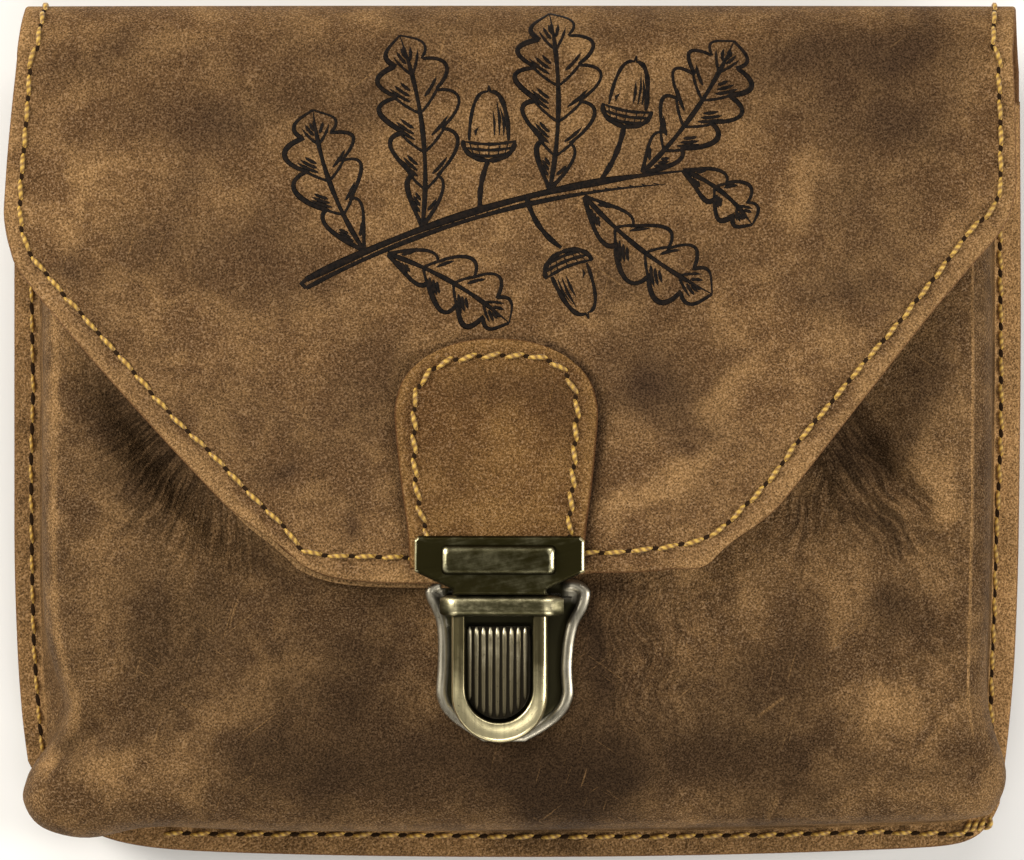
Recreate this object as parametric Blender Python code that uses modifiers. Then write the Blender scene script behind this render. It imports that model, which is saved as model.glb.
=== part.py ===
"""Leather belt bag, lying on its back with its front up.

A boxed pouch, a back panel that folds over the top into a flap, a tuck lock with a sprung thumb
slide, and a belt loop. +Z points out of the front, +Y to the top fold, +X to the right of the
front. Metres throughout.
"""

import math

import bmesh
import bpy
from mathutils import Matrix

# Gaps: between neighbouring pieces, and between leathers that lie on each other. Cutters reach past
# what they cut by the overcut.
CLEARANCE = 0.0003
LEATHER_GAP = 0.0005
OVERCUT = 0.0010

# Leather thicknesses.
BACK_LEATHER = 0.0020
POUCH_LEATHER = 0.0018
LINING_LEATHER = 0.0009
TAB_LEATHER = 0.0016
LOOP_LEATHER = 0.0022

# Belt loop: a strap along Y that a belt passes through along X.
LOOP_WIDTH = 0.0840
LOOP_FLAT = 0.0620
LOOP_STEP = 0.0070
LOOP_SEWN = 0.0080
LOOP_GAP = 0.0052
LOOP_CENTRE = 0.0060

# Back panel, from its bottom edge to where the top fold starts.
BACK_WIDTH = 0.1780
PANEL_BOTTOM = -0.07485
PANEL_LENGTH = 0.1387
BOTTOM_BOW = 0.0023

# Top fold and flap.
FOLD_REACH = 0.0110
FOLD_END = math.radians(78)
FLAP_WIDTH = 0.98876 * BACK_WIDTH
FLAP_TIP = -0.0259
TIP_TILT = 0.0014
TIP_ROUND = 0.0034
TIP_SHARE = 0.16
FLAP_FALL = 0.0042

# The lining shows past the flap at its lower left tip, and is trimmed back elsewhere. Where it starts
# to show down the flap and ends across it: each a share and how softly it changes.
LINING_SHOWS = 0.0008
LINING_HIDDEN = -0.0007
LINING_START, LINING_START_SOFT = 0.80, 0.12
LINING_END, LINING_END_SOFT = 0.1, 0.6

# Pouch.
POUCH_DEPTH = 0.0300
POUCH_LENGTH = 0.1334
SIDE_FALL = 0.0062
CROWN_POWER = 2.6
FLANGE = 0.0043
WALL_RUN = 0.0120
BULGE_SHARE = 0.4

# Closure tab.
TAB_WIDTH = 0.0350
TAB_TOP = 0.0164
TAB_LENGTH = 0.0398
TAB_X = -0.0032
TAB_ROUND = 0.0032
TAB_ROUND_SHARE = 0.45
TAB_ROUND_POWER = 2.4

# Tuck lock: its seat on the pouch's front, and its lean towards the left.
LOCK_X = -0.0018
LOCK_Y = -0.0395
LOCK_LEAN = math.radians(6)
SEAT_HALF_WIDTH = 0.0165
SEAT_HALF_HEIGHT = 0.0160
SEAT_CENTRE = -0.0365
SEAT_FADE = 0.0220

# Base plate, U frame, which sits a little left of the base, and crossbar.
BASE_WIDTH = 0.0280
BASE_TOP = 0.0126
BASE_LENGTH = 0.0262
BASE_PLATE = 0.0013
BASE_EDGE = 0.0005
FRAME_X = -0.0005
FRAME_WIDTH = 0.0166
FRAME_HEIGHT = 0.0031
FRAME_EDGE = 0.0008
FRAME_BOTTOM = -0.0137
FRAME_TOP = 0.0084
WINDOW_WIDTH = 0.0118
WINDOW_BOTTOM = -0.0102
CROSSBAR_WIDTH = 0.0214
CROSSBAR_BREADTH = 0.0037
CROSSBAR_HEIGHT = 0.0046
CROSSBAR_EDGE = 0.0014
CROSSBAR_TOP = 0.0117
SLOT_WIDTH = 0.0172
SLOT_HEIGHT = 0.0021

# Thumb slide.
SLIDE_THICKNESS = 0.0014
SLIDE_LENGTH = 0.0161
SLIDE_TRAVEL = 0.0022
SLIDE_SIDE_GAP = 0.0005
SLIDE_RIBS = 9
RIB_GROOVE = 0.0005
GROOVE_DEPTH = 0.0004
GROOVE_MARGIN = 0.0005

# Tongue piece: plate, raised bar and tongue.
PLATE_X = -0.0002
PLATE_WIDTH = 0.0294
PLATE_TOP = 0.0219
PLATE_STRAIGHT = 0.0061
PLATE_TAPER = 0.0022
PLATE_THICKNESS = 0.0010
PLATE_EDGE = 0.0002
SHOULDER_STEP = 0.0005
BAR_WIDTH = 0.0197
BAR_BREADTH = 0.0050
BAR_HEIGHT = 0.0017
BAR_DROP = 0.0016
BAR_EDGE = 0.0007
TONGUE_WIDTH = 0.0162
TONGUE_THICKNESS = 0.0010
TONGUE_REACH = 0.0030
TONGUE_LIFT = 0.0002
BEND_GAP = 0.0004

# Rows and columns of the leather sheets: shares across half the flap, shares down it, and counts.
FLAP_HALF_COLUMNS = (0.07, 0.14, 0.21, 0.30, 0.42, 0.55, 0.68, 0.79, 0.87, 0.92, 0.96, 1.0)
FLAP_COLUMNS = [-u for u in reversed(FLAP_HALF_COLUMNS)] + [0.0, *FLAP_HALF_COLUMNS]
FLAP_ROWS = (
    *(0.07, 0.15, 0.23, 0.29, 0.34, 0.38, 0.43, 0.49, 0.56, 0.63),
    *(0.70, 0.77, 0.84, 0.89, 0.93, 0.965, 1.0),
)
BACK_ROWS = (0.0, 0.015, 0.035, 0.075, 0.15, 0.35, 0.6, 0.85)
FOLD_ROWS = 9
TAB_ROWS = (0.0, 0.05, 0.11, 0.18, 0.26, 0.36, 0.48, 0.60, 0.72, 0.86, 1.0)
TAB_COLUMNS = 12
LOOP_BEND_ROWS = 5
ACROSS_POUCH = 17
UP_POUCH = 15
ROUND_STEPS = 14

# The panel's outline: share of its length, left and right share of half its width.
PANEL_EDGES = (
    (0.00, 0.966, 0.962),
    (0.12, 0.978, 0.979),
    (0.25, 0.987, 0.992),
    (0.42, 0.993, 1.000),
    (0.70, 0.993, 1.004),
    (1.00, 0.990, 1.002),
)
# The panel's bottom corners, left then right: lift of the corner as a share of the panel's length, and
# how sharply it starts.
PANEL_CORNERS = ((0.106, 12), (0.052, 30))
CORNER_FADE = 0.35

# The fold's width: share of the turn, left and right share of half the panel's width.
FOLD_EDGES = (
    (0.0, 0.990, 1.002),
    (0.6, 0.964, 0.986),
    (1.0, 0.974, 0.974),
)

# The flap's outline: share of its length, left and right share of half its width.
FLAP_EDGES = (
    (0.000, 0.984, 0.985),
    (0.115, 0.996, 0.990),
    (0.246, 1.006, 0.990),
    (0.300, 1.008, 0.978),
    (0.344, 1.002, 0.953),
    (0.370, 0.995, 0.930),
    (0.399, 0.985, 0.902),
    (0.435, 0.958, 0.870),
    (0.477, 0.923, 0.832),
    (0.686, 0.730, 0.657),
    (0.898, 0.521, 0.479),
    (0.949, 0.468, 0.430),
    (1.000, 0.418, 0.384),
)

# Height of the pouch's front along it: share of its length from the bottom edge, share of its depth.
POUCH_SECTIONS = (
    (0.00, 0.90),
    (0.08, 0.96),
    (0.18, 1.00),
    (0.44, 1.00),
    (0.62, 0.92),
    (0.82, 0.78),
    (1.00, 0.62),
)

# Wall from the flange to the front: share of its run, share of its height.
WALL_SECTION = (
    (0.00, 0.00),
    (0.06, 0.12),
    (0.11, 0.40),
    (0.16, 0.68),
    (0.30, 0.88),
    (0.58, 0.97),
    (1.00, 1.00),
)

# Soft lower corners of the pouch that hang over its flange: centre as shares of half the width and of
# the panel's length, reach as a share of the length, and how far they stand out along X and Y as shares
# of the pouch's depth.
CORNER_BULGES = (
    (-0.90, 0.078, 0.100, -0.170, -0.200),
    (0.86, 0.060, 0.075, 0.020, -0.105),
)

# Dents and folds of the pouch's front: centre as shares of half the width and of the panel's length,
# long and short reach as shares of the length, direction in degrees, and depth as a share of the
# pouch's depth. A fold that stands up has a negative depth.
FRONT_DENTS = (
    (-0.665, 0.490, 0.165, 0.055, -47, 0.150),
    (-0.300, 0.330, 0.060, 0.110, 0, -0.020),
    (0.680, 0.520, 0.080, 0.055, -50, 0.110),
    (0.800, 0.440, 0.120, 0.022, -52, 0.060),
    (0.580, 0.420, 0.085, 0.022, 80, 0.045),
    (-0.640, 0.240, 0.110, 0.090, 60, 0.060),
    (-0.360, 0.160, 0.170, 0.045, 24, -0.050),
    (-0.900, 0.150, 0.060, 0.026, 42, 0.110),
    (0.780, 0.300, 0.090, 0.060, 70, 0.060),
    (0.450, 0.130, 0.150, 0.060, 8, 0.050),
    (0.900, 0.115, 0.045, 0.024, -40, 0.070),
)

# Slow waves of the flap, in the same columns.
FLAP_WAVES = (
    (-0.520, 0.840, 0.210, 0.090, 20, 0.020),
    (0.550, 0.860, 0.240, 0.090, -15, 0.022),
    (0.500, 0.560, 0.160, 0.060, -45, -0.016),
    (-0.560, 0.620, 0.150, 0.060, 42, -0.014),
)

# The tab's outline: share of its length from the top, share of half its width.
TAB_EDGES = (
    (0.00, 0.69),
    (0.08, 0.85),
    (0.18, 0.955),
    (0.31, 1.000),
    (0.42, 0.985),
    (0.65, 0.930),
    (0.85, 0.870),
    (1.00, 0.850),
)

# The base plate's outline: share of its length from the top, share of half its width.
BASE_EDGES = (
    (0.00, 1.000),
    (0.14, 0.930),
    (0.26, 0.855),
    (0.40, 0.825),
    (0.55, 0.835),
    (0.67, 0.845),
    (0.78, 0.800),
    (0.86, 0.705),
    (0.94, 0.520),
    (1.00, 0.330),
)

# Levels above the rear of the bag.
BACK_REAR = LOOP_LEATHER + LOOP_GAP
FLANGE_TOP = BACK_REAR + BACK_LEATHER + CLEARANCE + POUCH_LEATHER
FLAP_STACK = LEATHER_GAP + LINING_LEATHER + LEATHER_GAP + BACK_LEATHER
TAB_STACK = FLAP_STACK + LEATHER_GAP + TAB_LEATHER
FOLD_START = PANEL_BOTTOM + PANEL_LENGTH
FLAP_START = FOLD_START + FOLD_REACH * math.cos(FOLD_END)

# Levels above the lock's seat.
BASE_LOW = CLEARANCE
FRAME_LOW = BASE_LOW + BASE_PLATE + CLEARANCE
SLIDE_LOW = BASE_LOW + BASE_PLATE + CLEARANCE
PLATE_LOW = TAB_STACK + CLEARANCE


def smooth(table, at, column):
    """A table's column at a share along the table, on a smooth curve that never overshoots."""
    if at <= table[0][0]:
        return table[0][column]
    if at >= table[-1][0]:
        return table[-1][column]
    k = max(i for i, row in enumerate(table[:-1]) if row[0] <= at)

    def slope(i):
        return (table[i + 1][column] - table[i][column]) / (table[i + 1][0] - table[i][0])

    def tangent(i):
        if i == 0 or i == len(table) - 1:
            return slope(min(i, len(table) - 2))
        before, after = slope(i - 1), slope(i)
        return 0.0 if before * after <= 0 else 2 * before * after / (before + after)

    width = table[k + 1][0] - table[k][0]
    t = (at - table[k][0]) / width
    start, end = table[k][column], table[k + 1][column]
    return (
        (2 * t**3 - 3 * t**2 + 1) * start
        + (t**3 - 2 * t**2 + t) * width * tangent(k)
        + (3 * t**2 - 2 * t**3) * end
        + (t**3 - t**2) * width * tangent(k + 1)
    )


def fade(value):
    """1 at 0 and below, 0 at 1 and above, with soft ends."""
    value = min(1.0, max(0.0, value))
    return 1 - value * value * (3 - 2 * value)


def relief(x, y, table):
    """Height that a table of dents and folds adds at a plan point."""
    height = 0.0
    for across, up, long_reach, short_reach, direction, depth in table:
        dx = x - across * BACK_WIDTH / 2
        dy = y - PANEL_BOTTOM - up * PANEL_LENGTH
        turn = math.radians(direction)
        along = (dx * math.cos(turn) + dy * math.sin(turn)) / (long_reach * PANEL_LENGTH)
        beside = (dy * math.cos(turn) - dx * math.sin(turn)) / (short_reach * PANEL_LENGTH)
        height -= depth * POUCH_DEPTH * math.exp(-(along**2) - beside**2)
    return height


def crown(x, y):
    """Height of the pouch's front with no dents: full in the middle, lower at the sides and mouth."""
    along = (y - PANEL_BOTTOM) / POUCH_LENGTH
    fall = SIDE_FALL * abs(2 * x / BACK_WIDTH) ** CROWN_POWER
    return FLANGE_TOP + POUCH_DEPTH * smooth(POUCH_SECTIONS, along, 1) - fall


def seat_height(x):
    return crown(LOCK_X, LOCK_Y) + (x - LOCK_X) * math.tan(LOCK_LEAN)


def seat_share(x, y):
    """1 where the lock presses the leather flat, 0 away from it."""
    beside = max(0.0, abs(x - LOCK_X) - SEAT_HALF_WIDTH) / SEAT_FADE
    along = max(0.0, abs(y - SEAT_CENTRE) - SEAT_HALF_HEIGHT) / SEAT_FADE
    return fade(math.hypot(beside, along))


def front_height(x, y):
    share = seat_share(x, y)
    return crown(x, y) * (1 - share) + seat_height(x) * share


def flap_height(x, y):
    """Outer face of the flap, which lies on the pouch's front and falls less at its sides."""
    lifted = (SIDE_FALL - FLAP_FALL) * abs(2 * x / BACK_WIDTH) ** CROWN_POWER
    waves = relief(x, y, FLAP_WAVES) * (1 - seat_share(x, y))
    return front_height(x, y) + FLAP_STACK + lifted + max(0.0, waves)


def panel_point(u, v):
    """Plan point of the panel at shares across it (-1 to 1) and up it."""
    half = BACK_WIDTH / 2 * smooth(PANEL_EDGES, v, 1 if u < 0 else 2)
    lift, power = PANEL_CORNERS[0 if u < 0 else 1]
    rise = BOTTOM_BOW * u * u + lift * PANEL_LENGTH * abs(u) ** power
    rise *= max(0.0, 1 - v / CORNER_FADE) ** 1.5
    return half * u, PANEL_BOTTOM + v * PANEL_LENGTH + rise


def fold_point(u, turn):
    """Point of the top fold, an arc from the panel at turn 0 to the flap at turn 1."""
    angle = -math.pi / 2 + turn * (math.pi / 2 + FOLD_END)
    x = u * BACK_WIDTH / 2 * smooth(FOLD_EDGES, turn, 1 if u < 0 else 2)
    rise = flap_height(x, FLAP_START) - BACK_REAR
    y = FOLD_START + FOLD_REACH * math.cos(angle)
    return x, y, BACK_REAR + rise * (1 + math.sin(angle)) / (1 + math.sin(FOLD_END))


def flap_plan(u, v, outset=0.0):
    """Plan point of the flap at shares across it and down it."""
    half = FLAP_WIDTH / 2 * smooth(FLAP_EDGES, v, 1 if u < 0 else 2) + outset
    near_tip = fade((1 - v) / TIP_SHARE)
    y = FLAP_START + v * (FLAP_TIP - FLAP_START)
    y += near_tip * (TIP_ROUND * abs(u) ** 7 + TIP_TILT * max(0.0, u) - outset)
    return half * u, y


def spread(first, last, count):
    return [first + (last - first) * i / count for i in range(count + 1)]


def material(name, colour, roughness, metallic=0.0):
    made = bpy.data.materials.new(name)
    made.use_nodes = True
    shader = made.node_tree.nodes["Principled BSDF"]
    shader.inputs["Base Color"].default_value = (*colour, 1)
    shader.inputs["Roughness"].default_value = roughness
    shader.inputs["Metallic"].default_value = metallic
    return made


def finish(piece, made_of, collection, sharp=40):
    """Gives a piece its material, its place in a collection and smooth shading."""
    piece.data.materials.clear()
    piece.data.materials.append(made_of)
    piece.data.shade_smooth()
    piece.data.set_sharp_from_angle(angle=math.radians(sharp))
    if piece.name not in collection.objects:
        collection.objects.link(piece)
    return piece


def sheet(name, columns, rows, place, thickness, turned=False):
    """Leather sheet: a grid whose points a function places on its outer face, with a thickness inwards."""
    bm = bmesh.new()
    bmesh.ops.create_grid(bm, x_segments=len(columns) - 1, y_segments=len(rows) - 1, size=1)
    for vert in bm.verts:
        column = columns[round((vert.co.x + 1) / 2 * (len(columns) - 1))]
        row = rows[round((vert.co.y + 1) / 2 * (len(rows) - 1))]
        vert.co = place(column, row)
    if turned:
        bmesh.ops.reverse_faces(bm, faces=bm.faces)
    mesh = bpy.data.meshes.new(name)
    bm.to_mesh(mesh)
    bm.free()
    piece = bpy.data.objects.new(name, mesh)
    shell = piece.modifiers.new("leather", "SOLIDIFY")
    shell.thickness = thickness
    shell.offset = -1
    shell.use_even_offset = False
    shell.use_quality_normals = True
    return piece


def plate(name, outline, low, high, across_x=False):
    """Mesh object from a flat outline, solid between two levels above it, or along X if asked."""
    curve = bpy.data.curves.new(name + "_outline", "CURVE")
    curve.dimensions = "2D"
    curve.fill_mode = "BOTH"
    curve.extrude = (high - low) / 2
    spline = curve.splines.new("POLY")
    spline.points.add(len(outline) - 1)
    for point, (x, y) in zip(spline.points, outline):
        point.co = (x, y, 0, 1)
    spline.use_cyclic_u = True
    guide = bpy.data.objects.new(name + "_guide", curve)
    bpy.context.scene.collection.objects.link(guide)
    graph = bpy.context.evaluated_depsgraph_get()
    mesh = bpy.data.meshes.new_from_object(guide.evaluated_get(graph))
    mesh.name = name
    bpy.data.objects.remove(guide)
    bpy.data.curves.remove(curve)
    mesh.transform(Matrix.Translation((0, 0, (low + high) / 2)))
    if across_x:
        mesh.transform(Matrix(((0, 0, 1, 0), (1, 0, 0, 0), (0, 1, 0, 0), (0, 0, 0, 1))))
    bm = bmesh.new()
    bm.from_mesh(mesh)
    bmesh.ops.remove_doubles(bm, verts=bm.verts, dist=1e-6)
    bmesh.ops.dissolve_limit(
        bm, angle_limit=math.radians(1), verts=bm.verts, edges=bm.edges, use_dissolve_boundaries=False
    )
    bmesh.ops.recalc_face_normals(bm, faces=bm.faces)
    bm.to_mesh(mesh)
    bm.free()
    return bpy.data.objects.new(name, mesh)


def block(name, x_range, y_range, z_range):
    (x0, x1), (y0, y1) = x_range, y_range
    return plate(name, ((x0, y0), (x1, y0), (x1, y1), (x0, y1)), *z_range)


def round_ended(width, top, bottom, middle=0.0):
    """Outline with straight sides, a straight top and a half-round bottom."""
    radius = width / 2
    points = [(middle + radius, top), (middle - radius, top)]
    for i in range(ROUND_STEPS + 1):
        angle = math.pi * (1 + i / ROUND_STEPS)
        points.append((middle + radius * math.cos(angle), bottom + radius + radius * math.sin(angle)))
    return points


def rounded(piece, width, segments=3):
    bevel = piece.modifiers.new("rounded edges", "BEVEL")
    bevel.width = width
    bevel.segments = segments
    bevel.limit_method = "ANGLE"
    bevel.angle_limit = math.radians(50)


def combine(piece, other, operation, cutters):
    """Joins another solid to a piece or cuts it away, with the other kept as a hidden guide."""
    boolean = piece.modifiers.new(other.name, "BOOLEAN")
    boolean.operation = operation
    boolean.solver = "EXACT"
    boolean.object = other
    if other.name not in cutters.objects:
        cutters.objects.link(other)
    other.hide_render = True
    other.display_type = "WIRE"


def clear_scene():
    for old in list(bpy.data.objects):
        bpy.data.objects.remove(old)


def make_belt_loop():
    """Strap behind the back panel: sewn down at both ends, standing off between them."""
    low, sewn = 0.0, BACK_REAR - CLEARANCE - LOOP_LEATHER
    half = LOOP_FLAT / 2
    rows = [(-half - LOOP_STEP - LOOP_SEWN, sewn)]
    for t in spread(0, 1, LOOP_BEND_ROWS):
        rows.append((-half - LOOP_STEP * (1 - t), sewn + (low - sewn) * (1 - fade(t))))
    rows += [(-y, z) for y, z in reversed(rows)]

    def place(across, row):
        return across * LOOP_WIDTH / 2, LOOP_CENTRE + row[0], row[1]

    return sheet("belt_loop", spread(-1, 1, 2), rows, place, LOOP_LEATHER, turned=True)


def make_back_and_flap():
    """One leather: the back panel from its bottom edge, the top fold, and the flap to its tip."""
    back = [("back", v) for v in BACK_ROWS]
    fold = [("fold", turn) for turn in spread(0, 1, FOLD_ROWS)]
    flap = [("flap", v) for v in FLAP_ROWS]

    def place(u, row):
        stretch, share = row
        if stretch == "back":
            return *panel_point(u, share), BACK_REAR
        if stretch == "fold":
            return fold_point(u, share)
        x, y = flap_plan(u, share)
        return x, y, flap_height(x, y)

    return sheet("back_and_flap", FLAP_COLUMNS, back + fold + flap, place, BACK_LEATHER, turned=True)


def make_flap_lining():
    """Thin layer under the flap, which shows a little past the flap's lower left edge."""

    def place(u, v):
        at_left_tip = 1 - fade((v - LINING_START) / LINING_START_SOFT)
        at_left_tip *= fade((u - LINING_END) / LINING_END_SOFT)
        x, y = flap_plan(u, v, LINING_HIDDEN + (LINING_SHOWS - LINING_HIDDEN) * at_left_tip)
        return x, y, flap_height(x, y) - BACK_LEATHER - LEATHER_GAP

    return sheet("flap_lining", FLAP_COLUMNS, FLAP_ROWS[1:], place, LINING_LEATHER, turned=True)


def make_front_pouch():
    """One leather: flange, walls, soft lower corners and dented front, open at the top."""
    sides = [(0.0, 0.0), (FLANGE, 0.0)]
    sides += [(FLANGE + WALL_RUN * run, height) for run, height in WALL_SECTION[1:]]
    half = BACK_WIDTH / 2
    edge = sides[-1][0] / half - 1
    left = [(distance / half - 1, height) for distance, height in sides]
    inner = [(u, 1.0) for u in spread(edge, -edge, ACROSS_POUCH)[1:-1]]
    columns = left + inner + [(-u, height) for u, height in reversed(left)]
    bottom = [(distance / PANEL_LENGTH, height) for distance, height in sides]
    mouth = POUCH_LENGTH / PANEL_LENGTH
    rows = bottom + [(v, 1.0) for v in spread(bottom[-1][0], mouth, UP_POUCH)[1:]]

    def place(column, row):
        (u, side_height), (v, bottom_height) = column, row
        x, y = panel_point(u, v)
        share = side_height * bottom_height
        free = 1 - seat_share(x, y)
        dents = relief(x, y, FRONT_DENTS) * free
        z = FLANGE_TOP + share * (front_height(x, y) - FLANGE_TOP + min(dents, 0.0) * share)
        z += max(dents, 0.0) * share * fade((y - FLAP_TIP) / SEAT_FADE + 1)
        for across, up, reach, out_x, out_y in CORNER_BULGES:
            far_x = (x - across * half) / (reach * PANEL_LENGTH)
            far_y = (y - PANEL_BOTTOM - up * PANEL_LENGTH) / (reach * PANEL_LENGTH)
            near = math.exp(-(far_x**2) - far_y**2) * (1 - fade(share / BULGE_SHARE))
            x += out_x * POUCH_DEPTH * near
            y += out_y * POUCH_DEPTH * near
        return x, y, z

    return sheet("front_pouch", columns, rows, place, POUCH_LEATHER)


def make_closure_tab():
    """Stitched tab with a round top, on the flap; its lower end is under the lock's plate."""

    def place(u, v):
        half = TAB_WIDTH / 2 * smooth(TAB_EDGES, v, 1)
        drop = TAB_ROUND * abs(u) ** TAB_ROUND_POWER * max(0.0, 1 - v / TAB_ROUND_SHARE) ** 1.5
        x, y = TAB_X + half * u, TAB_TOP - v * TAB_LENGTH - drop
        return x, y, flap_height(x, y) + LEATHER_GAP + TAB_LEATHER

    return sheet("closure_tab", spread(-1, 1, TAB_COLUMNS), TAB_ROWS, place, TAB_LEATHER, turned=True)


def make_lock_base():
    """Waisted plate that is fixed to the pouch's front."""
    side = []
    for i in range(2 * ROUND_STEPS + 1):
        t = i / (2 * ROUND_STEPS)
        side.append((BASE_WIDTH / 2 * smooth(BASE_EDGES, t, 1), BASE_TOP - t * BASE_LENGTH))
    outline = [(-x, y) for x, y in side] + side[::-1]
    piece = plate("lock_base", outline, BASE_LOW, BASE_LOW + BASE_PLATE)
    rounded(piece, BASE_EDGE, 2)
    return piece


def make_lock_frame(cutters):
    """Domed U with a window for the slide, and a crossbar with a slot for the tongue."""
    outline = round_ended(FRAME_WIDTH, FRAME_TOP, FRAME_BOTTOM, FRAME_X)
    piece = plate("lock_frame", outline, FRAME_LOW, FRAME_LOW + FRAME_HEIGHT)
    low, high = FRAME_LOW - OVERCUT, FRAME_LOW + FRAME_HEIGHT + OVERCUT
    above = FRAME_TOP + OVERCUT
    window_outline = round_ended(WINDOW_WIDTH, above, WINDOW_BOTTOM, FRAME_X)
    window = plate("window_cutter", window_outline, low, high)
    combine(piece, window, "DIFFERENCE", cutters)
    rounded(piece, FRAME_EDGE)
    bar = block(
        "crossbar",
        (-CROSSBAR_WIDTH / 2, CROSSBAR_WIDTH / 2),
        (CROSSBAR_TOP - CROSSBAR_BREADTH, CROSSBAR_TOP),
        (FRAME_LOW, FRAME_LOW + CROSSBAR_HEIGHT),
    )
    rounded(bar, CROSSBAR_EDGE)
    slot = block(
        "slot_cutter",
        (-SLOT_WIDTH / 2, SLOT_WIDTH / 2),
        (FRAME_TOP, CROSSBAR_TOP + OVERCUT),
        (low, FRAME_LOW + SLOT_HEIGHT),
    )
    combine(bar, slot, "DIFFERENCE", cutters)
    combine(piece, bar, "UNION", cutters)
    # The pocket under the U's round end is where the slide goes when it is pushed.
    pocket_outline = round_ended(
        WINDOW_WIDTH, WINDOW_BOTTOM + WINDOW_WIDTH, WINDOW_BOTTOM - SLIDE_TRAVEL, FRAME_X
    )
    roof = SLIDE_LOW + SLIDE_THICKNESS + CLEARANCE
    pocket = plate("pocket_cutter", pocket_outline, low, roof)
    combine(piece, pocket, "DIFFERENCE", cutters)
    return piece


def make_thumb_slide(cutters):
    """Flat slide with a round end and upright ribs. Its origin is at its middle, on its line of travel."""
    width = WINDOW_WIDTH - 2 * SLIDE_SIDE_GAP
    end = WINDOW_BOTTOM + SLIDE_SIDE_GAP
    middle = end + SLIDE_LENGTH / 2
    outline = round_ended(width, SLIDE_LENGTH / 2, -SLIDE_LENGTH / 2)
    piece = plate("thumb_slide", outline, -SLIDE_THICKNESS / 2, SLIDE_THICKNESS / 2)
    top = SLIDE_THICKNESS / 2
    grooves = bmesh.new()
    for i in range(1, SLIDE_RIBS):
        x = -width / 2 + i * width / SLIDE_RIBS
        round_start = width / 2 - math.sqrt((width / 2) ** 2 - x**2)
        groove = block(
            "groove",
            (x - RIB_GROOVE / 2, x + RIB_GROOVE / 2),
            (-SLIDE_LENGTH / 2 + round_start + GROOVE_MARGIN, SLIDE_LENGTH / 2 - 2 * GROOVE_MARGIN),
            (top - GROOVE_DEPTH, top + GROOVE_DEPTH),
        )
        grooves.from_mesh(groove.data)
        bpy.data.objects.remove(groove)
    mesh = bpy.data.meshes.new("groove_cutter")
    grooves.to_mesh(mesh)
    grooves.free()
    cutter = bpy.data.objects.new("groove_cutter", mesh)
    combine(piece, cutter, "DIFFERENCE", cutters)
    piece.location = cutter.location = (FRAME_X, middle, SLIDE_LOW + SLIDE_THICKNESS / 2)
    return piece


def make_lock_tongue(cutters):
    """Plate on the tab with a raised bar, and the tongue that bends down into the lock's slot."""
    half, tongue_half = PLATE_WIDTH / 2, TONGUE_WIDTH / 2
    shoulder = PLATE_TOP - PLATE_STRAIGHT
    low_edge = shoulder - PLATE_TAPER
    outline = (
        (-half, PLATE_TOP),
        (-half, shoulder),
        (-tongue_half - SHOULDER_STEP, low_edge),
        (tongue_half + SHOULDER_STEP, low_edge),
        (half, shoulder),
        (half, PLATE_TOP),
    )
    piece = plate("lock_tongue", outline, PLATE_LOW, PLATE_LOW + PLATE_THICKNESS)
    rounded(piece, PLATE_EDGE, 1)
    bar_top = PLATE_TOP - BAR_DROP
    bar = block(
        "raised_bar",
        (-BAR_WIDTH / 2, BAR_WIDTH / 2),
        (bar_top - BAR_BREADTH, bar_top),
        (PLATE_LOW + PLATE_THICKNESS / 2, PLATE_LOW + PLATE_THICKNESS + BAR_HEIGHT),
    )
    rounded(bar, BAR_EDGE)
    combine(piece, bar, "UNION", cutters)
    # The tongue's section along Y: level under the plate, down a slope, level in the slot.
    slot_floor = FRAME_LOW + CLEARANCE
    bend_y = CROSSBAR_TOP + BEND_GAP
    flat = PLATE_LOW + TONGUE_LIFT
    thick = TONGUE_THICKNESS - TONGUE_LIFT
    section = (
        (shoulder + BEND_GAP, flat),
        (low_edge + 2 * BEND_GAP, flat),
        (bend_y, slot_floor),
        (bend_y - TONGUE_REACH, slot_floor),
        (bend_y - TONGUE_REACH, slot_floor + thick),
        (bend_y - BEND_GAP, slot_floor + thick),
        (low_edge + BEND_GAP, flat + thick),
        (shoulder + BEND_GAP, flat + thick),
    )
    tongue = plate("tongue_strip", section, -tongue_half, tongue_half, across_x=True)
    combine(piece, tongue, "UNION", cutters)
    for made in (piece, bar, tongue):
        made.location.x = PLATE_X
    return piece


def main():
    clear_scene()
    scene = bpy.context.scene
    bag = bpy.data.collections.new("belt_bag")
    cutters = bpy.data.collections.new("cutters")
    scene.collection.children.link(bag)
    scene.collection.children.link(cutters)
    cutters.hide_render = True

    leather = material("brown leather", (0.19, 0.10, 0.04), 0.62)
    tab_leather = material("tab leather", (0.24, 0.13, 0.05), 0.6)
    lining = material("lining leather", (0.27, 0.16, 0.07), 0.75)
    brass = material("antique brass", (0.30, 0.26, 0.14), 0.35, 1.0)
    dark_brass = material("dark brass", (0.14, 0.12, 0.08), 0.4, 1.0)

    finish(make_belt_loop(), leather, bag)
    finish(make_back_and_flap(), leather, bag)
    finish(make_front_pouch(), leather, bag)
    finish(make_flap_lining(), lining, bag)
    finish(make_closure_tab(), tab_leather, bag)

    seat = bpy.data.objects.new("lock_seat", None)
    seat.location = (LOCK_X, LOCK_Y, seat_height(LOCK_X))
    seat.rotation_euler = (0, -LOCK_LEAN, 0)
    bag.objects.link(seat)
    pieces = [
        finish(make_lock_base(), brass, bag),
        finish(make_lock_frame(cutters), brass, bag),
        finish(make_thumb_slide(cutters), dark_brass, bag),
        finish(make_lock_tongue(cutters), dark_brass, bag),
    ]
    for piece in pieces + list(cutters.objects):
        piece.parent = seat


main()
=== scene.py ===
"""A brown leather belt bag with a brass tuck lock, lying on its back on a pale table."""

import math

import bmesh
import bpy
import numpy as np
from mathutils import Matrix, Vector, noise
from mathutils.bvhtree import BVHTree


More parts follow.
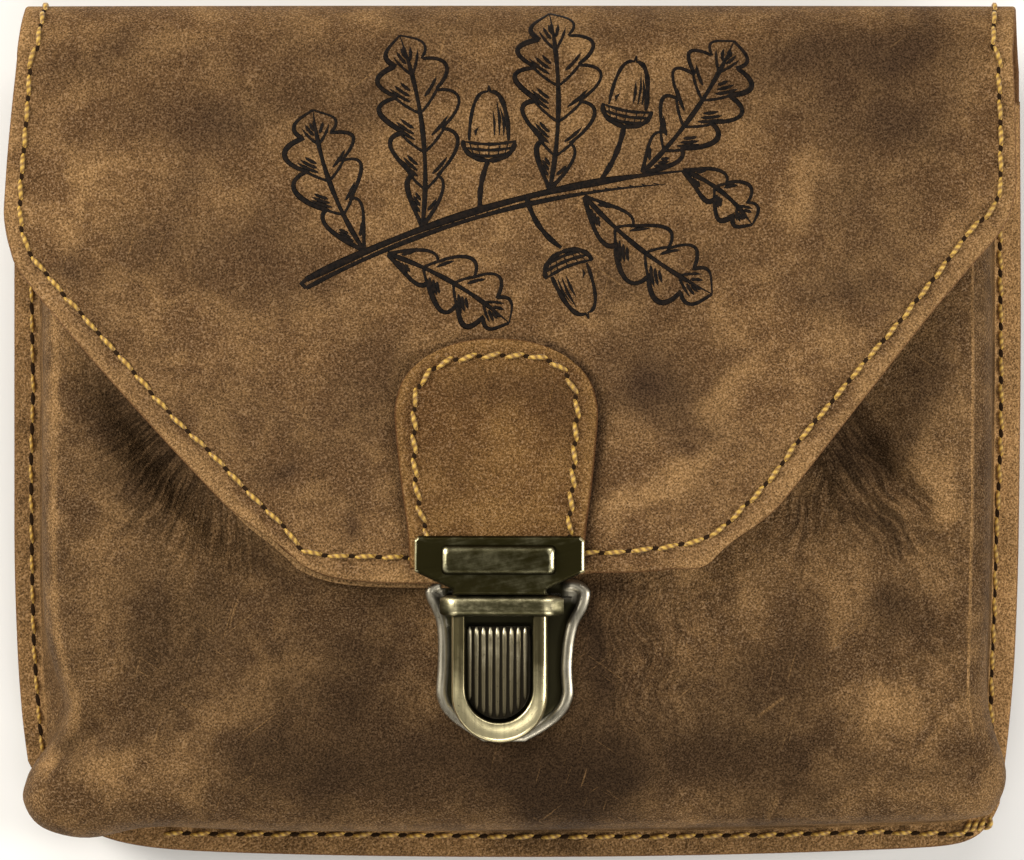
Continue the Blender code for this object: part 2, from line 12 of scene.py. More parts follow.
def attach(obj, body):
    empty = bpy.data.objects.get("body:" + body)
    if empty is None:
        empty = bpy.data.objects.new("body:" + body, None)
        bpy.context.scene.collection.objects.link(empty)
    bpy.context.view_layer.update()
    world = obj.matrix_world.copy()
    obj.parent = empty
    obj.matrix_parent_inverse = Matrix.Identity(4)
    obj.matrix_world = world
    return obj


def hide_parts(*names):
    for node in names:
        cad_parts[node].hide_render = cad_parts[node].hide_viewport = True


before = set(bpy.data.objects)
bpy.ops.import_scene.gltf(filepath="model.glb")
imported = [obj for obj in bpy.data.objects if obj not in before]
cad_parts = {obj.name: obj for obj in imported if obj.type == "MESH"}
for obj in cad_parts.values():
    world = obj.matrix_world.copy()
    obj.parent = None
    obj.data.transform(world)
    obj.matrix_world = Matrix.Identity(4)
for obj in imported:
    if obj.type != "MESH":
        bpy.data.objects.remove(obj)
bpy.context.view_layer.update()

# Back panel, top fold and flap. One piece of waxed cowhide, 2 mm thick, cut to shape and folded over
# the top. Its cut edges are rubbed round, and it has darkened in smoky patches where wax has gathered.
BACK_WIDTH, PANEL_BOTTOM, PANEL_LENGTH = 0.178, -0.07485, 0.1387
FLAP_WIDTH, FLAP_TIP = 0.98876 * BACK_WIDTH, -0.0259
BACK_LEATHER, LINING_LEATHER, LEATHER_GAP = 0.002, 0.0009, 0.0005
# The cut edge is rubbed round over this distance, and its points stand closer there.
RUBBED_EDGE, EDGE_STEPS = 0.0006, (0, 0.00012, 0.0003, 0.00055, 0.0009)
BACK_REAR, FLANGE_TOP = 0.0074, 0.0115
FLAP_STACK = 2 * LEATHER_GAP + LINING_LEATHER + BACK_LEATHER
FOLD_REACH, FOLD_END = 0.011, math.radians(78)
FOLD_START = PANEL_BOTTOM + PANEL_LENGTH
FLAP_START = FOLD_START + FOLD_REACH * math.cos(FOLD_END)

# The panel's bottom curves up to its corners, the left one most. The flap's tip curves up too, and is
# raised a little on the right.
BOTTOM_CURVE, LEFT_CORNER_LIFT, RIGHT_CORNER_LIFT = 0.0023, 0.106, 0.052
TIP_CURVE, TIP_RAISED_RIGHT = 0.0034, 0.0019

# The pouch under the flap. Its front is this much lower at its sides, and the flap falls a little less.
POUCH_DEPTH, POUCH_LENGTH = 0.03, 0.1334
SIDE_FALL, FLAP_FALL = 0.0062, 0.0042
# How far its front stands up: share of its length from the bottom, share of its depth.
POUCH_SECTIONS = ((0, 0.9), (0.08, 0.96), (0.18, 1), (0.44, 1), (0.62, 0.92), (0.82, 0.78), (1, 0.62))

# The seat that the lock presses flat in the leather, and the lock's lean towards the left.
LOCK_X, LOCK_Y = -0.0018, -0.0395
LOCK_LEAN = math.radians(6)
SEAT_HALF_WIDTH, SEAT_HALF_HEIGHT, SEAT_CENTRE, SEAT_FADE = 0.0165, 0.016, -0.0365, 0.022

# Outlines: share along the piece, left and right share of half its width.
PANEL_EDGES = (
    (0, 0.966, 0.962), (0.12, 0.978, 0.979), (0.25, 0.987, 0.992), (0.42, 0.993, 1), (0.7, 0.993, 1.004),
    (1, 0.99, 1.002),
)
FOLD_EDGES = ((0, 0.99, 1.002), (0.6, 0.964, 0.986), (1, 0.974, 0.974))
FLAP_EDGES = (
    (0, 0.984, 0.985), (0.115, 0.996, 0.99), (0.246, 1.006, 0.99), (0.3, 1.008, 0.978), (0.344, 1.002, 0.953),
    (0.37, 0.995, 0.93), (0.399, 0.985, 0.902), (0.435, 0.958, 0.87), (0.477, 0.923, 0.832),
    (0.686, 0.73, 0.657), (0.898, 0.521, 0.479), (0.949, 0.468, 0.43), (1, 0.418, 0.384),
)

# All tables of soft spots are in millimetres: centre, long and short reach, direction in degrees, and a
# depth in millimetres or a strength. First the slow waves of the flap.
FLAP_WAVES = (
    (-46.28, 41.658, 29.127, 12.483, 20, 0.6), (48.95, 44.432, 33.288, 12.483, -15, 0.66),
    (44.5, 2.822, 22.192, 8.322, -45, -0.48), (-49.84, 11.144, 20.805, 8.322, 42, -0.42),
)

# The flap's seam, in millimetres: from under the tab up its left edge, and up its right edge.
FLAP_SEAM_LEFT = (
    (-16.5, -21.3), (-22.9, -21.3), (-27.7, -21.1), (-32.3, -21.1), (-36.6, -20.1), (-39.3, -16.5),
    (-42.4, -13.4), (-45.9, -10.1), (-49.1, -6.7), (-52.6, -3.1), (-59.2, 3.1), (-65.6, 10.5), (-71.9, 17.3),
    (-78.1, 24.1), (-83.7, 30.7), (-85.4, 34.7), (-85.8, 38.8), (-85.7, 42.5), (-85.1, 51.4), (-84.5, 60.5),
    (-84, 65.5),
)
FLAP_SEAM_RIGHT = (
    (12.4, -20.5), (17.8, -20.4), (22.5, -19.9), (27.5, -19.3), (32.1, -18.3), (35.7, -16.3), (39.2, -12.8),
    (42.5, -9.6), (45.2, -6.2), (47.8, -2.5), (54.1, 4.9), (60.3, 12.3), (66.6, 19.5), (72.8, 27.2),
    (78.9, 35.2), (82.3, 38.3), (84.1, 41.6), (84.4, 51.9), (84.2, 59.5), (84, 65.5),
)

# The closure tab's outline on the flap, in millimetres, where it presses the leather down and where a painted
# contact shadow darkens the flap beside it, most on the right.
TAB_LINE = (
    (-18.3, -22), (-18.8, -14), (-20, -6), (-20.8, 1), (-20.6, 4.5), (-20, 8), (-18.2, 11), (-15.4, 13.5),
    (-12.9, 14.8), (-9.2, 16), (-3.2, 16.7), (2.8, 16), (6.5, 14.8), (9, 13.5), (11.8, 11), (13.6, 8),
    (14.2, 4.5), (14.4, 1), (13.6, -6), (12.4, -14), (11.9, -22),
)

# How deep the thread and the tab's edge press the leather, and how far out that reaches.
SEAM_DIP, SEAM_REACH, TAB_DIP, TAB_REACH = 0.00038, 0.0012, 0.0003, 0.0008

# Smoky patches and rubbed patches of the flap.
FLAP_SMOKE = (
    (-51, 54, 27, 7, 3, 0.65), (61, 66, 21, 7, 8, 0.75), (69, 53, 8, 5, 0, 0.6), (51, 26, 10, 4, -20, 0.4),
    (-43, 29, 13, 12, 0, 0.55), (-24, 12, 6, 7, 0, 0.6), (25, 10, 9, 5, 15, 0.8), (30, 2, 12, 8, -30, 0.5),
    (-76, 30, 3, 4, 0, 0.5), (-60, 40, 16, 6, 60, 0.4), (20, 28, 18, 5, 0, 0.35), (-28, -16, 3, 2, 0, 0.6),
    (-70, 66, 12, 4, 0, 0.45), (10, 70, 24, 3, 0, 0.35), (-41, -9, 3, 2.5, 0, 0.7), (56, 58, 28, 14, 0, 0.55),
    (28, 13, 15, 8, -20, 0.5), (64, 42, 13, 14, 0, 0.3), (-66, 8, 14, 5, -47, 0.3), (-42, 66, 46, 7, 0, 0.4),
    (-30, 0, 14, 12, 0, 0.25), (-50, 6, 20, 9, -47, 0.3), (58, 32, 16, 12, 0, 0.3),
)
FLAP_RUB = (
    (8, 68, 6, 3, -40, 0.8), (50, 44, 3, 13, -8, 0.6), (24, -8, 16, 3, 32, 0.8), (38, 8, 9, 3, 50, 0.6),
    (-62, 66, 14, 3, 0, 0.3), (-77, 45, 4, 16, 0, 0.35), (76, 44, 4, 16, 0, 0.3), (-55, 8, 18, 4, -47, 0.35),
    (62, 20, 18, 4, 50, 0.3), (-30, -4, 12, 8, 0, 0.35), (-56, 22, 9, 6, 0, 0.35), (44, 56, 14, 4, 30, 0.35),
)


def smooth(table, at, column):
    """A table's column at shares along the table, on a smooth curve that never overshoots."""
    rows = np.array(table, float)
    place, value = rows[:, 0], rows[:, column]
    slope = np.diff(value) / np.diff(place)
    product, total = slope[1:] * slope[:-1], slope[1:] + slope[:-1]
    inner = np.where(product > 0, 2 * product / np.where(product > 0, total, 1), 0)
    tangent = np.concatenate((slope[:1], inner, slope[-1:]))
    at = np.clip(at, place[0], place[-1])
    k = np.clip(np.searchsorted(place, at, side="right") - 1, 0, len(place) - 2)
    width = place[k + 1] - place[k]
    t = (at - place[k]) / width
    rise, bend = 3 * t**2 - 2 * t**3, t**3 - t**2
    straight = (1 - rise) * value[k] + rise * value[k + 1]
    return straight + width * ((bend - t**2 + t) * tangent[k] + bend * tangent[k + 1])


def fade(value):
    """1 at 0 and below, 0 at 1 and above, with soft ends."""
    value = np.clip(value, 0, 1)
    return 1 - value * value * (3 - 2 * value)


def soft_spots(x, y, table):
    """For each row of a table, its strength and how near plan points are to its centre, 0 to 1."""
    for centre_x, centre_y, long_reach, short_reach, direction, strength in table:
        dx, dy, turn = x * 1000 - centre_x, y * 1000 - centre_y, math.radians(direction)
        along = (dx * math.cos(turn) + dy * math.sin(turn)) / long_reach
        beside = (dy * math.cos(turn) - dx * math.sin(turn)) / short_reach
        yield strength, np.exp(-(along**2) - beside**2)


def pressed(x, y, table):
    """Height, in metres, of a table of dents and creases; ridges have a depth below 0."""
    return -sum(depth * near for depth, near in soft_spots(x, y, table)) / 1000


def patches(x, y, table):
    """Strength, 0 to 1, of a table of soft patches."""
    return 1 - math.prod(1 - strength * near for strength, near in soft_spots(x, y, table))


def uneven(x, y, scale, seed):
    """Slow noise, from -1 to 1, at plan points."""
    values = [noise.noise((a * scale, b * scale, seed)) for a, b in zip(x.ravel(), y.ravel())]
    return np.array(values).reshape(x.shape)


def wandered(x, y, seed):
    """Plan points moved about by slow noise, so that patches painted on them have uneven outlines."""
    for reach, scale, shift in ((0.006, 55, 0), (0.003, 160, 3)):
        by_x, by_y = uneven(x, y, scale, seed + shift), uneven(x, y, scale, seed + shift + 30)
        x, y = x + reach * by_x, y + reach * by_y
    return x, y


def sheet(x, y, z):
    """Points from their three coordinates, spread to rows and columns of one size."""
    return np.stack(np.broadcast_arrays(x, y, z), axis=-1)


def to_side(x):
    """0 in the bag's middle, 1 at its sides, with most of the rise near them."""
    return abs(2 * x / BACK_WIDTH) ** 2.6


def crown(x, y):
    """Height of the pouch's front with no dents: full in the middle, lower at the sides and mouth."""
    full = smooth(POUCH_SECTIONS, (y - PANEL_BOTTOM) / POUCH_LENGTH, 1)
    return FLANGE_TOP + POUCH_DEPTH * full - SIDE_FALL * to_side(x)


def seat_height(x):
    """Level of the flat seat that the lock lies on."""
    return float(crown(LOCK_X, LOCK_Y)) + (x - LOCK_X) * math.tan(LOCK_LEAN)


def seat_share(x, y):
    """1 where the lock presses the leather flat, 0 away from it."""
    beside = np.maximum(0, abs(x - LOCK_X) - SEAT_HALF_WIDTH) / SEAT_FADE
    along = np.maximum(0, abs(y - SEAT_CENTRE) - SEAT_HALF_HEIGHT) / SEAT_FADE
    return fade(np.hypot(beside, along))


def front_height(x, y):
    share = seat_share(x, y)
    return crown(x, y) * (1 - share) + seat_height(x) * share


def sewn_dip(x, y, seam, depth, reach):
    """Height lost beside a seam, where the tight thread pulls the leather down."""
    ends = np.array(seam) / 1000
    nearest = 1
    for (x0, y0), (dx, dy) in zip(ends[:-1], np.diff(ends, axis=0)):
        t = np.clip(((x - x0) * dx + (y - y0) * dy) / (dx * dx + dy * dy), 0, 1)
        nearest = np.minimum(nearest, np.hypot(x - x0 - t * dx, y - y0 - t * dy))
    return -depth * np.exp(-((nearest / reach) ** 2))


def flap_height(x, y):
    """Outer face of the flap, which lies on the pouch's front and falls less at its sides."""
    waves = np.maximum(0, pressed(x, y, FLAP_WAVES) * (1 - seat_share(x, y)))
    return front_height(x, y) + FLAP_STACK + (SIDE_FALL - FLAP_FALL) * to_side(x) + waves


def flap_face(x, y):
    """The flap's finished face: slow waves, a soft hand-cut unevenness and the pull of its seam."""
    pull = sum(sewn_dip(x, y, seam, SEAM_DIP, SEAM_REACH) for seam in (FLAP_SEAM_LEFT, FLAP_SEAM_RIGHT))
    pull += sewn_dip(x, y, TAB_LINE, TAB_DIP, TAB_REACH)
    hand = 0.00012 * np.sin(x * 190 + 1.3) * np.sin(y * 230 + x * 70) + 0.00008 * np.sin(x * 410 - y * 330)
    return flap_height(x, y) + pull + hand * (1 - seat_share(x, y))


def half_of(width, edges, u, at):
    """Half of a width, on the side that a share across it is on, from a table of edges."""
    return width / 2 * np.where(u < 0, smooth(edges, at, 1), smooth(edges, at, 2))


def panel_point(u, v):
    """Plan point of the back panel at shares across it (-1 to 1) and up it."""
    lift = np.where(u < 0, LEFT_CORNER_LIFT * abs(u) ** 12, RIGHT_CORNER_LIFT * abs(u) ** 30) * PANEL_LENGTH
    rise = (BOTTOM_CURVE * u * u + lift) * np.maximum(0, 1 - v / 0.35) ** 1.5
    return u * half_of(BACK_WIDTH, PANEL_EDGES, u, v), PANEL_BOTTOM + v * PANEL_LENGTH + rise


def fold_point(u, turn):
    """Point of the top fold, an arc from the panel at turn 0 to the flap at turn 1."""
    angle = -math.pi / 2 + turn * (math.pi / 2 + FOLD_END)
    x = u * half_of(BACK_WIDTH, FOLD_EDGES, u, turn)
    share = (1 + np.sin(angle)) / (1 + math.sin(FOLD_END))
    rise = (flap_height(x, FLAP_START) - BACK_REAR) * share
    return x, FOLD_START + FOLD_REACH * np.cos(angle), BACK_REAR + rise


def flap_plan(u, v, outset=0):
    """Plan point of the flap at shares across it and down it."""
    half = half_of(FLAP_WIDTH, FLAP_EDGES, u, v) + outset
    near_tip = fade((1 - v) / 0.16)
    raised_right = TIP_RAISED_RIGHT * (1 - fade(u / 0.3)) * (0.2 + 0.8 * fade((u - 0.78) / 0.2))
    tip_rise = near_tip * (TIP_CURVE * abs(u) ** 7 + raised_right - outset)
    return half * u, FLAP_START + v * (FLAP_TIP - FLAP_START) + tip_rise


def close_set(length, count, both=True):
    """Shares along a length, evenly spaced with closer ones at its rubbed edges."""
    ends = np.array(EDGE_STEPS) / length
    middle = np.linspace(ends[-1], 1 - ends[-1] if both else 1, count)[1:]
    return np.concatenate((ends, middle, 1 - ends[-2::-1] if both else []))


def shown(name, data):
    """New object in the scene."""
    made = bpy.data.objects.new(name, data)
    bpy.context.scene.collection.objects.link(made)
    return made


def spread_over(piece, name, values):
    """Gives each point of a piece a value that its finish reads; a shell's inner face gets the same."""
    values = np.ravel(values).astype(float)
    values = np.tile(values, len(piece.data.vertices) // len(values))
    piece.data.attributes.new(name, "FLOAT", "POINT").data.foreach_set("value", values)


def leather_shell(name, outer, thickness, finish, turned=False, rubbed=RUBBED_EDGE, **painted_on):
    """Closed leather from rows of outer points: an inner face one thickness in, and rubbed edges."""
    rows, columns = outer.shape[:2]
    normal = np.cross(np.gradient(outer, axis=1), np.gradient(outer, axis=0))
    normal *= (-1 if turned else 1) / np.linalg.norm(normal, axis=2, keepdims=True)
    inset = []
    for axis in (1, 0):
        gone = np.cumsum(np.linalg.norm(np.diff(outer, axis=axis), axis=2), axis=axis)
        gone = np.insert(gone, 0, 0, axis=axis)
        inset += [gone, np.take(gone, [-1], axis=axis) - gone]
    near = np.clip(1 - np.minimum.reduce(inset) / rubbed, 0, 1)
    drop = (rubbed * (1 - np.sqrt(1 - near**2)))[..., None]
    places = np.stack((outer - normal * drop, outer - normal * (thickness - drop))).reshape(-1, 3)
    index = np.arange(rows * columns).reshape(rows, columns)
    quads = np.stack((index[:-1, :-1], index[:-1, 1:], index[1:, 1:], index[1:, :-1]), axis=2).reshape(-1, 4)
    rim = np.concatenate((index[0], index[1:, -1], index[-1, -2::-1], index[-2:0:-1, 0]))
    after = np.roll(rim, -1)
    wall = np.stack((rim, rim + rows * columns, after + rows * columns, after), axis=1)
    faces = np.concatenate((quads, quads[:, ::-1] + rows * columns, wall))
    mesh = bpy.data.meshes.new(name)
    mesh.from_pydata(places.tolist(), [], (faces[:, ::-1] if turned else faces).tolist())
    mesh.shade_smooth()
    mesh.materials.append(finish)
    piece = shown(name, mesh)
    spread_over(piece, "cut_edge", np.stack((near, near * 0 + 1)))
    for value_name, values in painted_on.items():
        spread_over(piece, value_name, values + 0 * near)
    return piece


class Flow:
    """A value that runs through the node tree being built. Sums and products with it become math nodes."""

    def __init__(self, socket):
        self.socket = socket

    def other(self, output):
        """Another output of the same node."""
        return Flow(self.socket.node.outputs[output])

    def scaled(self, by, plus):
        return calc("MULTIPLY_ADD", self, by, plus)

    def step(self, low, high, to_low=0, to_high=1):
        """A soft step between two levels as this value goes from low to high."""
        ends = {"Value": self, "From Min": low, "From Max": high, "To Min": to_low, "To Max": to_high}
        return add("ShaderNodeMapRange", ends, interpolation_type="SMOOTHSTEP")

    def __add__(self, more):
        return calc("ADD", self, more)

    def __sub__(self, less):
        return calc("SUBTRACT", self, less)

    def __rsub__(self, start):
        return calc("SUBTRACT", start, self)

    def __mul__(self, by):
        return calc("MULTIPLY", self, by)


def wire(socket, value):
    if isinstance(value, Flow):
        tree.links.new(value.socket, socket)
    else:
        socket.default_value = value


def add(kind, wires=(), output=0, **settings):
    """New node in the tree being built, with its settings and sockets; gives one of its outputs."""
    made = tree.nodes.new(kind if "Node" in kind else "GeometryNode" + kind)
    for key, value in settings.items():
        setattr(made, key, value)
    for socket, value in dict(wires).items():
        wire(made.inputs[socket], value)
    return Flow(made.outputs[output])


def calc(operation, *values):
    return add("ShaderNodeMath", enumerate(values), operation=operation)


def xyz(x=0, y=0, z=0):
    return add("ShaderNodeCombineXYZ", {0: x, 1: y, 2: z})


def new_finish(name):
    """Starts a finish: its tree is the one being built. Gives it and the place that its patterns read."""
    global tree
    finish = bpy.data.materials.new(name)
    finish.use_nodes = True
    tree = finish.node_tree
    return finish, add("ShaderNodeTexCoord", output="Object")


def end_finish(wires, height=None, strength=0, depth=0):
    """Ends a finish: the sockets of its shader, and relief of a height."""
    if height:
        wires["Normal"] = add("ShaderNodeBump", {"Height": height, "Strength": strength, "Distance": depth})
    for name, value in wires.items():
        wire(tree.nodes["Principled BSDF"].inputs[name], value)


def tint(share, under, over, blend="MIX"):
    """Colour over another one by a share."""
    under, over = (colour if isinstance(colour, Flow) else (*colour, 1) for colour in (under, over))
    return add("ShaderNodeMix", {"Factor": share, 6: under, 7: over}, 2, data_type="RGBA", blend_type=blend)


def cloud(place, scale, detail, rough=0.55, twisted=0):
    wires = {"Vector": place, "Scale": scale, "Detail": detail, "Roughness": rough, "Distortion": twisted}
    return add("ShaderNodeTexNoise", wires)


def stretched(place, turn, scale):
    """The place turned about the upright and stretched, for marks that run one way."""
    wires = {"Vector": place, "Rotation": (0, 0, math.radians(turn)), "Scale": [1 / s for s in scale]}
    return add("ShaderNodeMapping", wires, vector_type="TEXTURE")


def painted(name, output="Fac"):
    """A value that was spread over the piece's points."""
    return add("ShaderNodeAttribute", output=output, attribute_name=name)


def waxed_leather(name, middle, light, dark, cut, grain=1, crease=1):
    """Waxed pull-up cowhide: pebbled pores, creases, smoky patches and painted shade, rubbed patches and
    painted light, and scratches.
    """
    finish, place = new_finish(name)
    broad = cloud(place, 30, 4, 0.6, 0.8)
    mottle = cloud(place, 120, 4, 0.65, 0.4)
    fleck = cloud(place, 2900, 1, 0.6)
    pore = add("ShaderNodeTexVoronoi", {"Vector": place, "Scale": 2700 / grain})
    # Smoky patches and painted shade darken the colour; rubbed patches and painted light lighten it.
    smoke = mottle.scaled(0.32, broad.step(0.3, 0.75).scaled(0.38, painted("smoke")))
    rub = mottle.scaled(1.3, painted("rub"))
    colour = tint(mottle.step(0.35, 0.7, 0, 0.6), middle, light)
    colour = tint(rub.step(0.68, 1.45), colour, light)
    # Where rubbing goes furthest it is painted paler still: painted light on the right flange and on the
    # pouch's folds.
    colour = tint(rub.step(1.75, 2.35), colour, tuple(1.5 * part for part in light))
    colour = tint(fleck.step(0.5, 0.75, 0, 0.22), colour, (0.36, 0.26, 0.165))
    colour = tint(smoke.step(0.12, 1.45), colour, dark)
    tone = fleck.step(0.3, 0.7, 0.58, 1.34) * pore.step(0.05, 0.48, 0.42, 1.22)
    # Fine wrinkles that run along the pull of the leather, with painted shade in their grooves and painted
    # light on their crests.
    pull = xyz(painted("beside_pull"), painted("along_pull"))
    wrinkle = cloud(add("ShaderNodeMapping", {"Vector": pull, "Scale": (1, 0.1, 1)}), 1150, 3, 0.55, 0.15)
    tone = tone * (1 - wrinkle.step(0.4, 0.62, 0.5, -0.3) * painted("creased"))
    # Scratches: thin light lines in three directions, broken up by the mottling.
    scratch = 0
    for turn, shift in ((38, 1), (-34, 1.3), (74, 1.15)):
        lines = cloud(stretched(place, turn, (50, 1700, 200)), shift, 1, 0.5, 0.1)
        scratch = calc("MAXIMUM", lines.step(0.69, 0.76) * broad.step(0.5, 0.62), scratch)
    colour = tint(scratch * 0.32, colour, light)
    shade = add("ShaderNodeCombineColor", {"Red": tone, "Green": tone, "Blue": tone})
    colour = tint(1, colour, shade, "MULTIPLY")
    colour = tint(painted("cut_edge").step(0.15, 1, 0, 0.8), colour, cut)
    # Relief: a pebble at each pore, unevenness, and ridged creases where the leather has been pulled.
    vein = cloud(stretched(place, 25, (1, 1.5, 1)), 230, 2, 0.6, 0.6).scaled(2, -1)
    vein = calc("ABSOLUTE", vein).step(0, 0.28, 0, 0.28 * crease)
    height = fleck.scaled(0.7, pore.scaled(0.8, vein))
    height = wrinkle.scaled(painted("creased") * 4, height)
    rough = fleck.step(0.3, 0.75, 0.68, 0.5)
    end_finish({"Base Color": colour, "Roughness": rough, "Specular IOR Level": 0.02}, height, 0.8, 0.0002)
    return finish


FLAP_BROWN, FLAP_TAN = (0.108, 0.057, 0.023), (0.264, 0.149, 0.059)
SMOKE_AND_SHADE_BROWN, CUT_EDGE_BROWN = (0.0395, 0.0225, 0.0124), (0.125, 0.058, 0.024)
WORN_BREADTH = 0.0036

# Shares across the sheet, closer beside the tab and at the rubbed edges, and shares along it.
across = 2 * close_set(BACK_WIDTH, 170) - 1
near_tab = fade((abs(across + 0.035) - 0.16) / 0.16) + 0.3
across = np.interp(np.linspace(0, 1, 204), np.cumsum(near_tab) / near_tab.sum(), across)
at_edge = 2 * close_set(BACK_WIDTH, 20)[:5] - 1
across = np.concatenate((at_edge, across[abs(across) < 0.975], -at_edge[::-1]))
up_back = close_set(PANEL_LENGTH, 44, both=False)
round_fold = np.linspace(0, 1, 30)[1:]
down_flap = 1 - close_set(FLAP_START - FLAP_TIP, 92, both=False)[::-1]
v = down_flap[down_flap > 0.004][:, None]
x, y = flap_plan(across, v)
settled = 1 - fade((v - 0.004) / 0.05)
flap_rows = sheet(x, y, flap_height(x, y) * (1 - settled) + flap_face(x, y) * settled)
panel_rows = sheet(*panel_point(across, up_back[:, None]), BACK_REAR)
outer = np.concatenate((panel_rows, sheet(*fold_point(across, round_fold[:, None])), flap_rows))
sheet_x, sheet_y = outer[..., 0], outer[..., 1]
on_flap = outer[..., 2] > BACK_REAR + 0.004
spots = wandered(sheet_x, sheet_y, 2)
# Painted contact shadow along the tab's outline, darker on its right side; it joins the smoky patches.
tab_painted_shadow = -sewn_dip(sheet_x, sheet_y, TAB_LINE, 1, 0.0009) * np.where(sheet_x > 0.005, 0.95, 0.5)
row_half = abs(outer[:, :1, 0] - outer[:, -1:, 0]) / 2
from_side = (1 - abs(across)) * row_half * 0.75
edge_wear = fade(np.minimum(from_side, sheet_y - FLAP_TIP) / WORN_BREADTH - 0.2) * on_flap
smoke = np.maximum(patches(*spots, FLAP_SMOKE), tab_painted_shadow) * (1 - 0.6 * edge_wear)
rub = np.maximum(patches(*spots, FLAP_RUB) * on_flap, 0.55 * edge_wear)
flap_finish = waxed_leather("waxed brown leather", FLAP_BROWN, FLAP_TAN, SMOKE_AND_SHADE_BROWN, CUT_EDGE_BROWN)
back_and_flap = leather_shell(
    "back_and_flap_leather", outer, BACK_LEATHER, flap_finish, turned=True,
    smoke=np.where(on_flap, smoke, 0.15), rub=rub,
)
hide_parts("back_and_flap")
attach(back_and_flap, "bag")

# Flap lining. A thin split leather glued and sewn under the flap, trimmed so that a hair of it shows
# past the flap's lower left edge. Its flesh side faces the pouch and is a little paler.
LINING_SHOWS, LINING_HIDDEN = 0.0008, -0.0007
LINING_COLOURS = (0.235, 0.135, 0.055), (0.32, 0.19, 0.08), (0.09, 0.05, 0.022), (0.1, 0.05, 0.02)
v = down_flap[down_flap > 0.15][:, None]
at_left_tip = (1 - fade((v - 0.8) / 0.12)) * fade((across - 0.1) / 0.6)
x, y = flap_plan(across, v, LINING_HIDDEN + (LINING_SHOWS - LINING_HIDDEN) * at_left_tip)
flap_lining = leather_shell(
    "flap_lining_leather", sheet(x, y, flap_face(x, y) - BACK_LEATHER - LEATHER_GAP), LINING_LEATHER,
    waxed_leather("split lining leather", *LINING_COLOURS, 1.3),
    turned=True, rubbed=0.0003, smoke=0.2, rub=0.1,
)
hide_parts("flap_lining")
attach(flap_lining, "bag")

# Front pouch. One piece of the same cowhide, wet-formed over a block: a flange all round for the seam,
# steep walls, soft lower corners that hang over the flange, and a front that has sunk and creased.
FLANGE, WALL_RUN, POUCH_LEATHER = 0.0043, 0.012, 0.0018
WALL_SECTION = ((0, 0), (0.06, 0.12), (0.11, 0.4), (0.16, 0.68), (0.3, 0.88), (0.58, 0.97), (1, 1))
# Corners that bulge, in millimetres: centre, reach, how far out to the right and up.
CORNER_BULGES = (
    (-81.88, -60.98, 8.8768, -5.1, 0), (-76.54, -69.8568, 8.5994, -0.6, -5.1),
    (-80.1, -49.884, 9.709, 3.9, 0), (-44.5, -68.6085, 38.836, 0, -0.78),
    (-82.77, -67.0828, 6.2415, -2.1, -1.8), (83.215, -60.5639, 9.1542, 4.95, -0.45),
)
FRONT_DENTS = (
    (-59.185, -6.887, 22.8855, 7.6285, -47, 4.5), (-26.7, -29.079, 8.322, 15.257, 0, -0.6),
    (60.52, -2.726, 11.096, 7.6285, -50, 3.3), (71.2, -13.822, 16.644, 3.0514, -52, 1.8),
    (51.62, -16.596, 11.7895, 3.0514, 80, 1.35), (-56.96, -41.562, 15.257, 12.483, 60, 1.8),
    (-32.04, -52.658, 23.579, 6.2415, 24, -1.5), (-80.1, -54.045, 8.322, 3.6062, 42, 3.3),
    (69.42, -33.24, 12.483, 8.322, 70, 1.8), (40.05, -56.819, 20.805, 8.322, 8, 2.4),
    (80.1, -58.8995, 6.2415, 3.3288, -40, 2.1), (-16.02, -60.98, 26.353, 6.935, 6, 2.7),
    (-49.84, -29.079, 13.87, 5.548, 30, 1.5), (26.7, -34.627, 13.87, 6.2415, 60, 1.5),
)
FRONT_CREASES = (
    (60, 0, 14, 2.2, -62, 0.9), (66, -8, 16, 1.8, -52, 0.7), (71, -4, 15, 1.6, -48, 0.5),
    (58, -14, 11, 1.8, -66, 0.5), (50, -13, 12, 1.5, 82, 0.5), (46, -18, 10, 1.3, 76, 0.4),
    (54, -22, 9, 1.5, 68, 0.35), (42, -24, 9, 1.2, 84, 0.3), (24, -32, 9, 0.9, 80, 0.22),
    (28, -34, 9, 0.8, 74, 0.2), (20, -35, 8, 0.8, 86, 0.18), (32, -30, 8, 0.9, 70, 0.2),
    (-60, -6, 13, 3, -50, 0.7), (-68, 4, 12, 2.2, -50, 0.6), (-54, -14, 10, 2.4, -40, 0.4),
    (-72, -8, 10, 1.6, -70, 0.35), (-48, -18, 9, 1.6, -30, 0.25), (-30, -52, 22, 3.2, 22, -0.35),
    (-44, -46, 16, 2.6, 28, 0.25), (-62, -40, 10, 2, 66, 0.25), (-77, -54, 8, 1.8, 42, 1.3),
    (-71, -51, 7, 1.5, -72, 0.6), (-73, -58, 8, 1.5, 15, 0.5), (77, -58, 6, 1.6, -42, 1.1),
    (74, -61, 7, 1.4, -20, 0.5), (-79.8, -10, 38, 1.1, 90, -0.4), (36, -60, 18, 2.2, 6, 0.3),
    (12, -62, 16, 2, -3, 0.25), (60, -50, 12, 2, 40, 0.25), (66, -34, 12, 1.8, 66, 0.3),
)
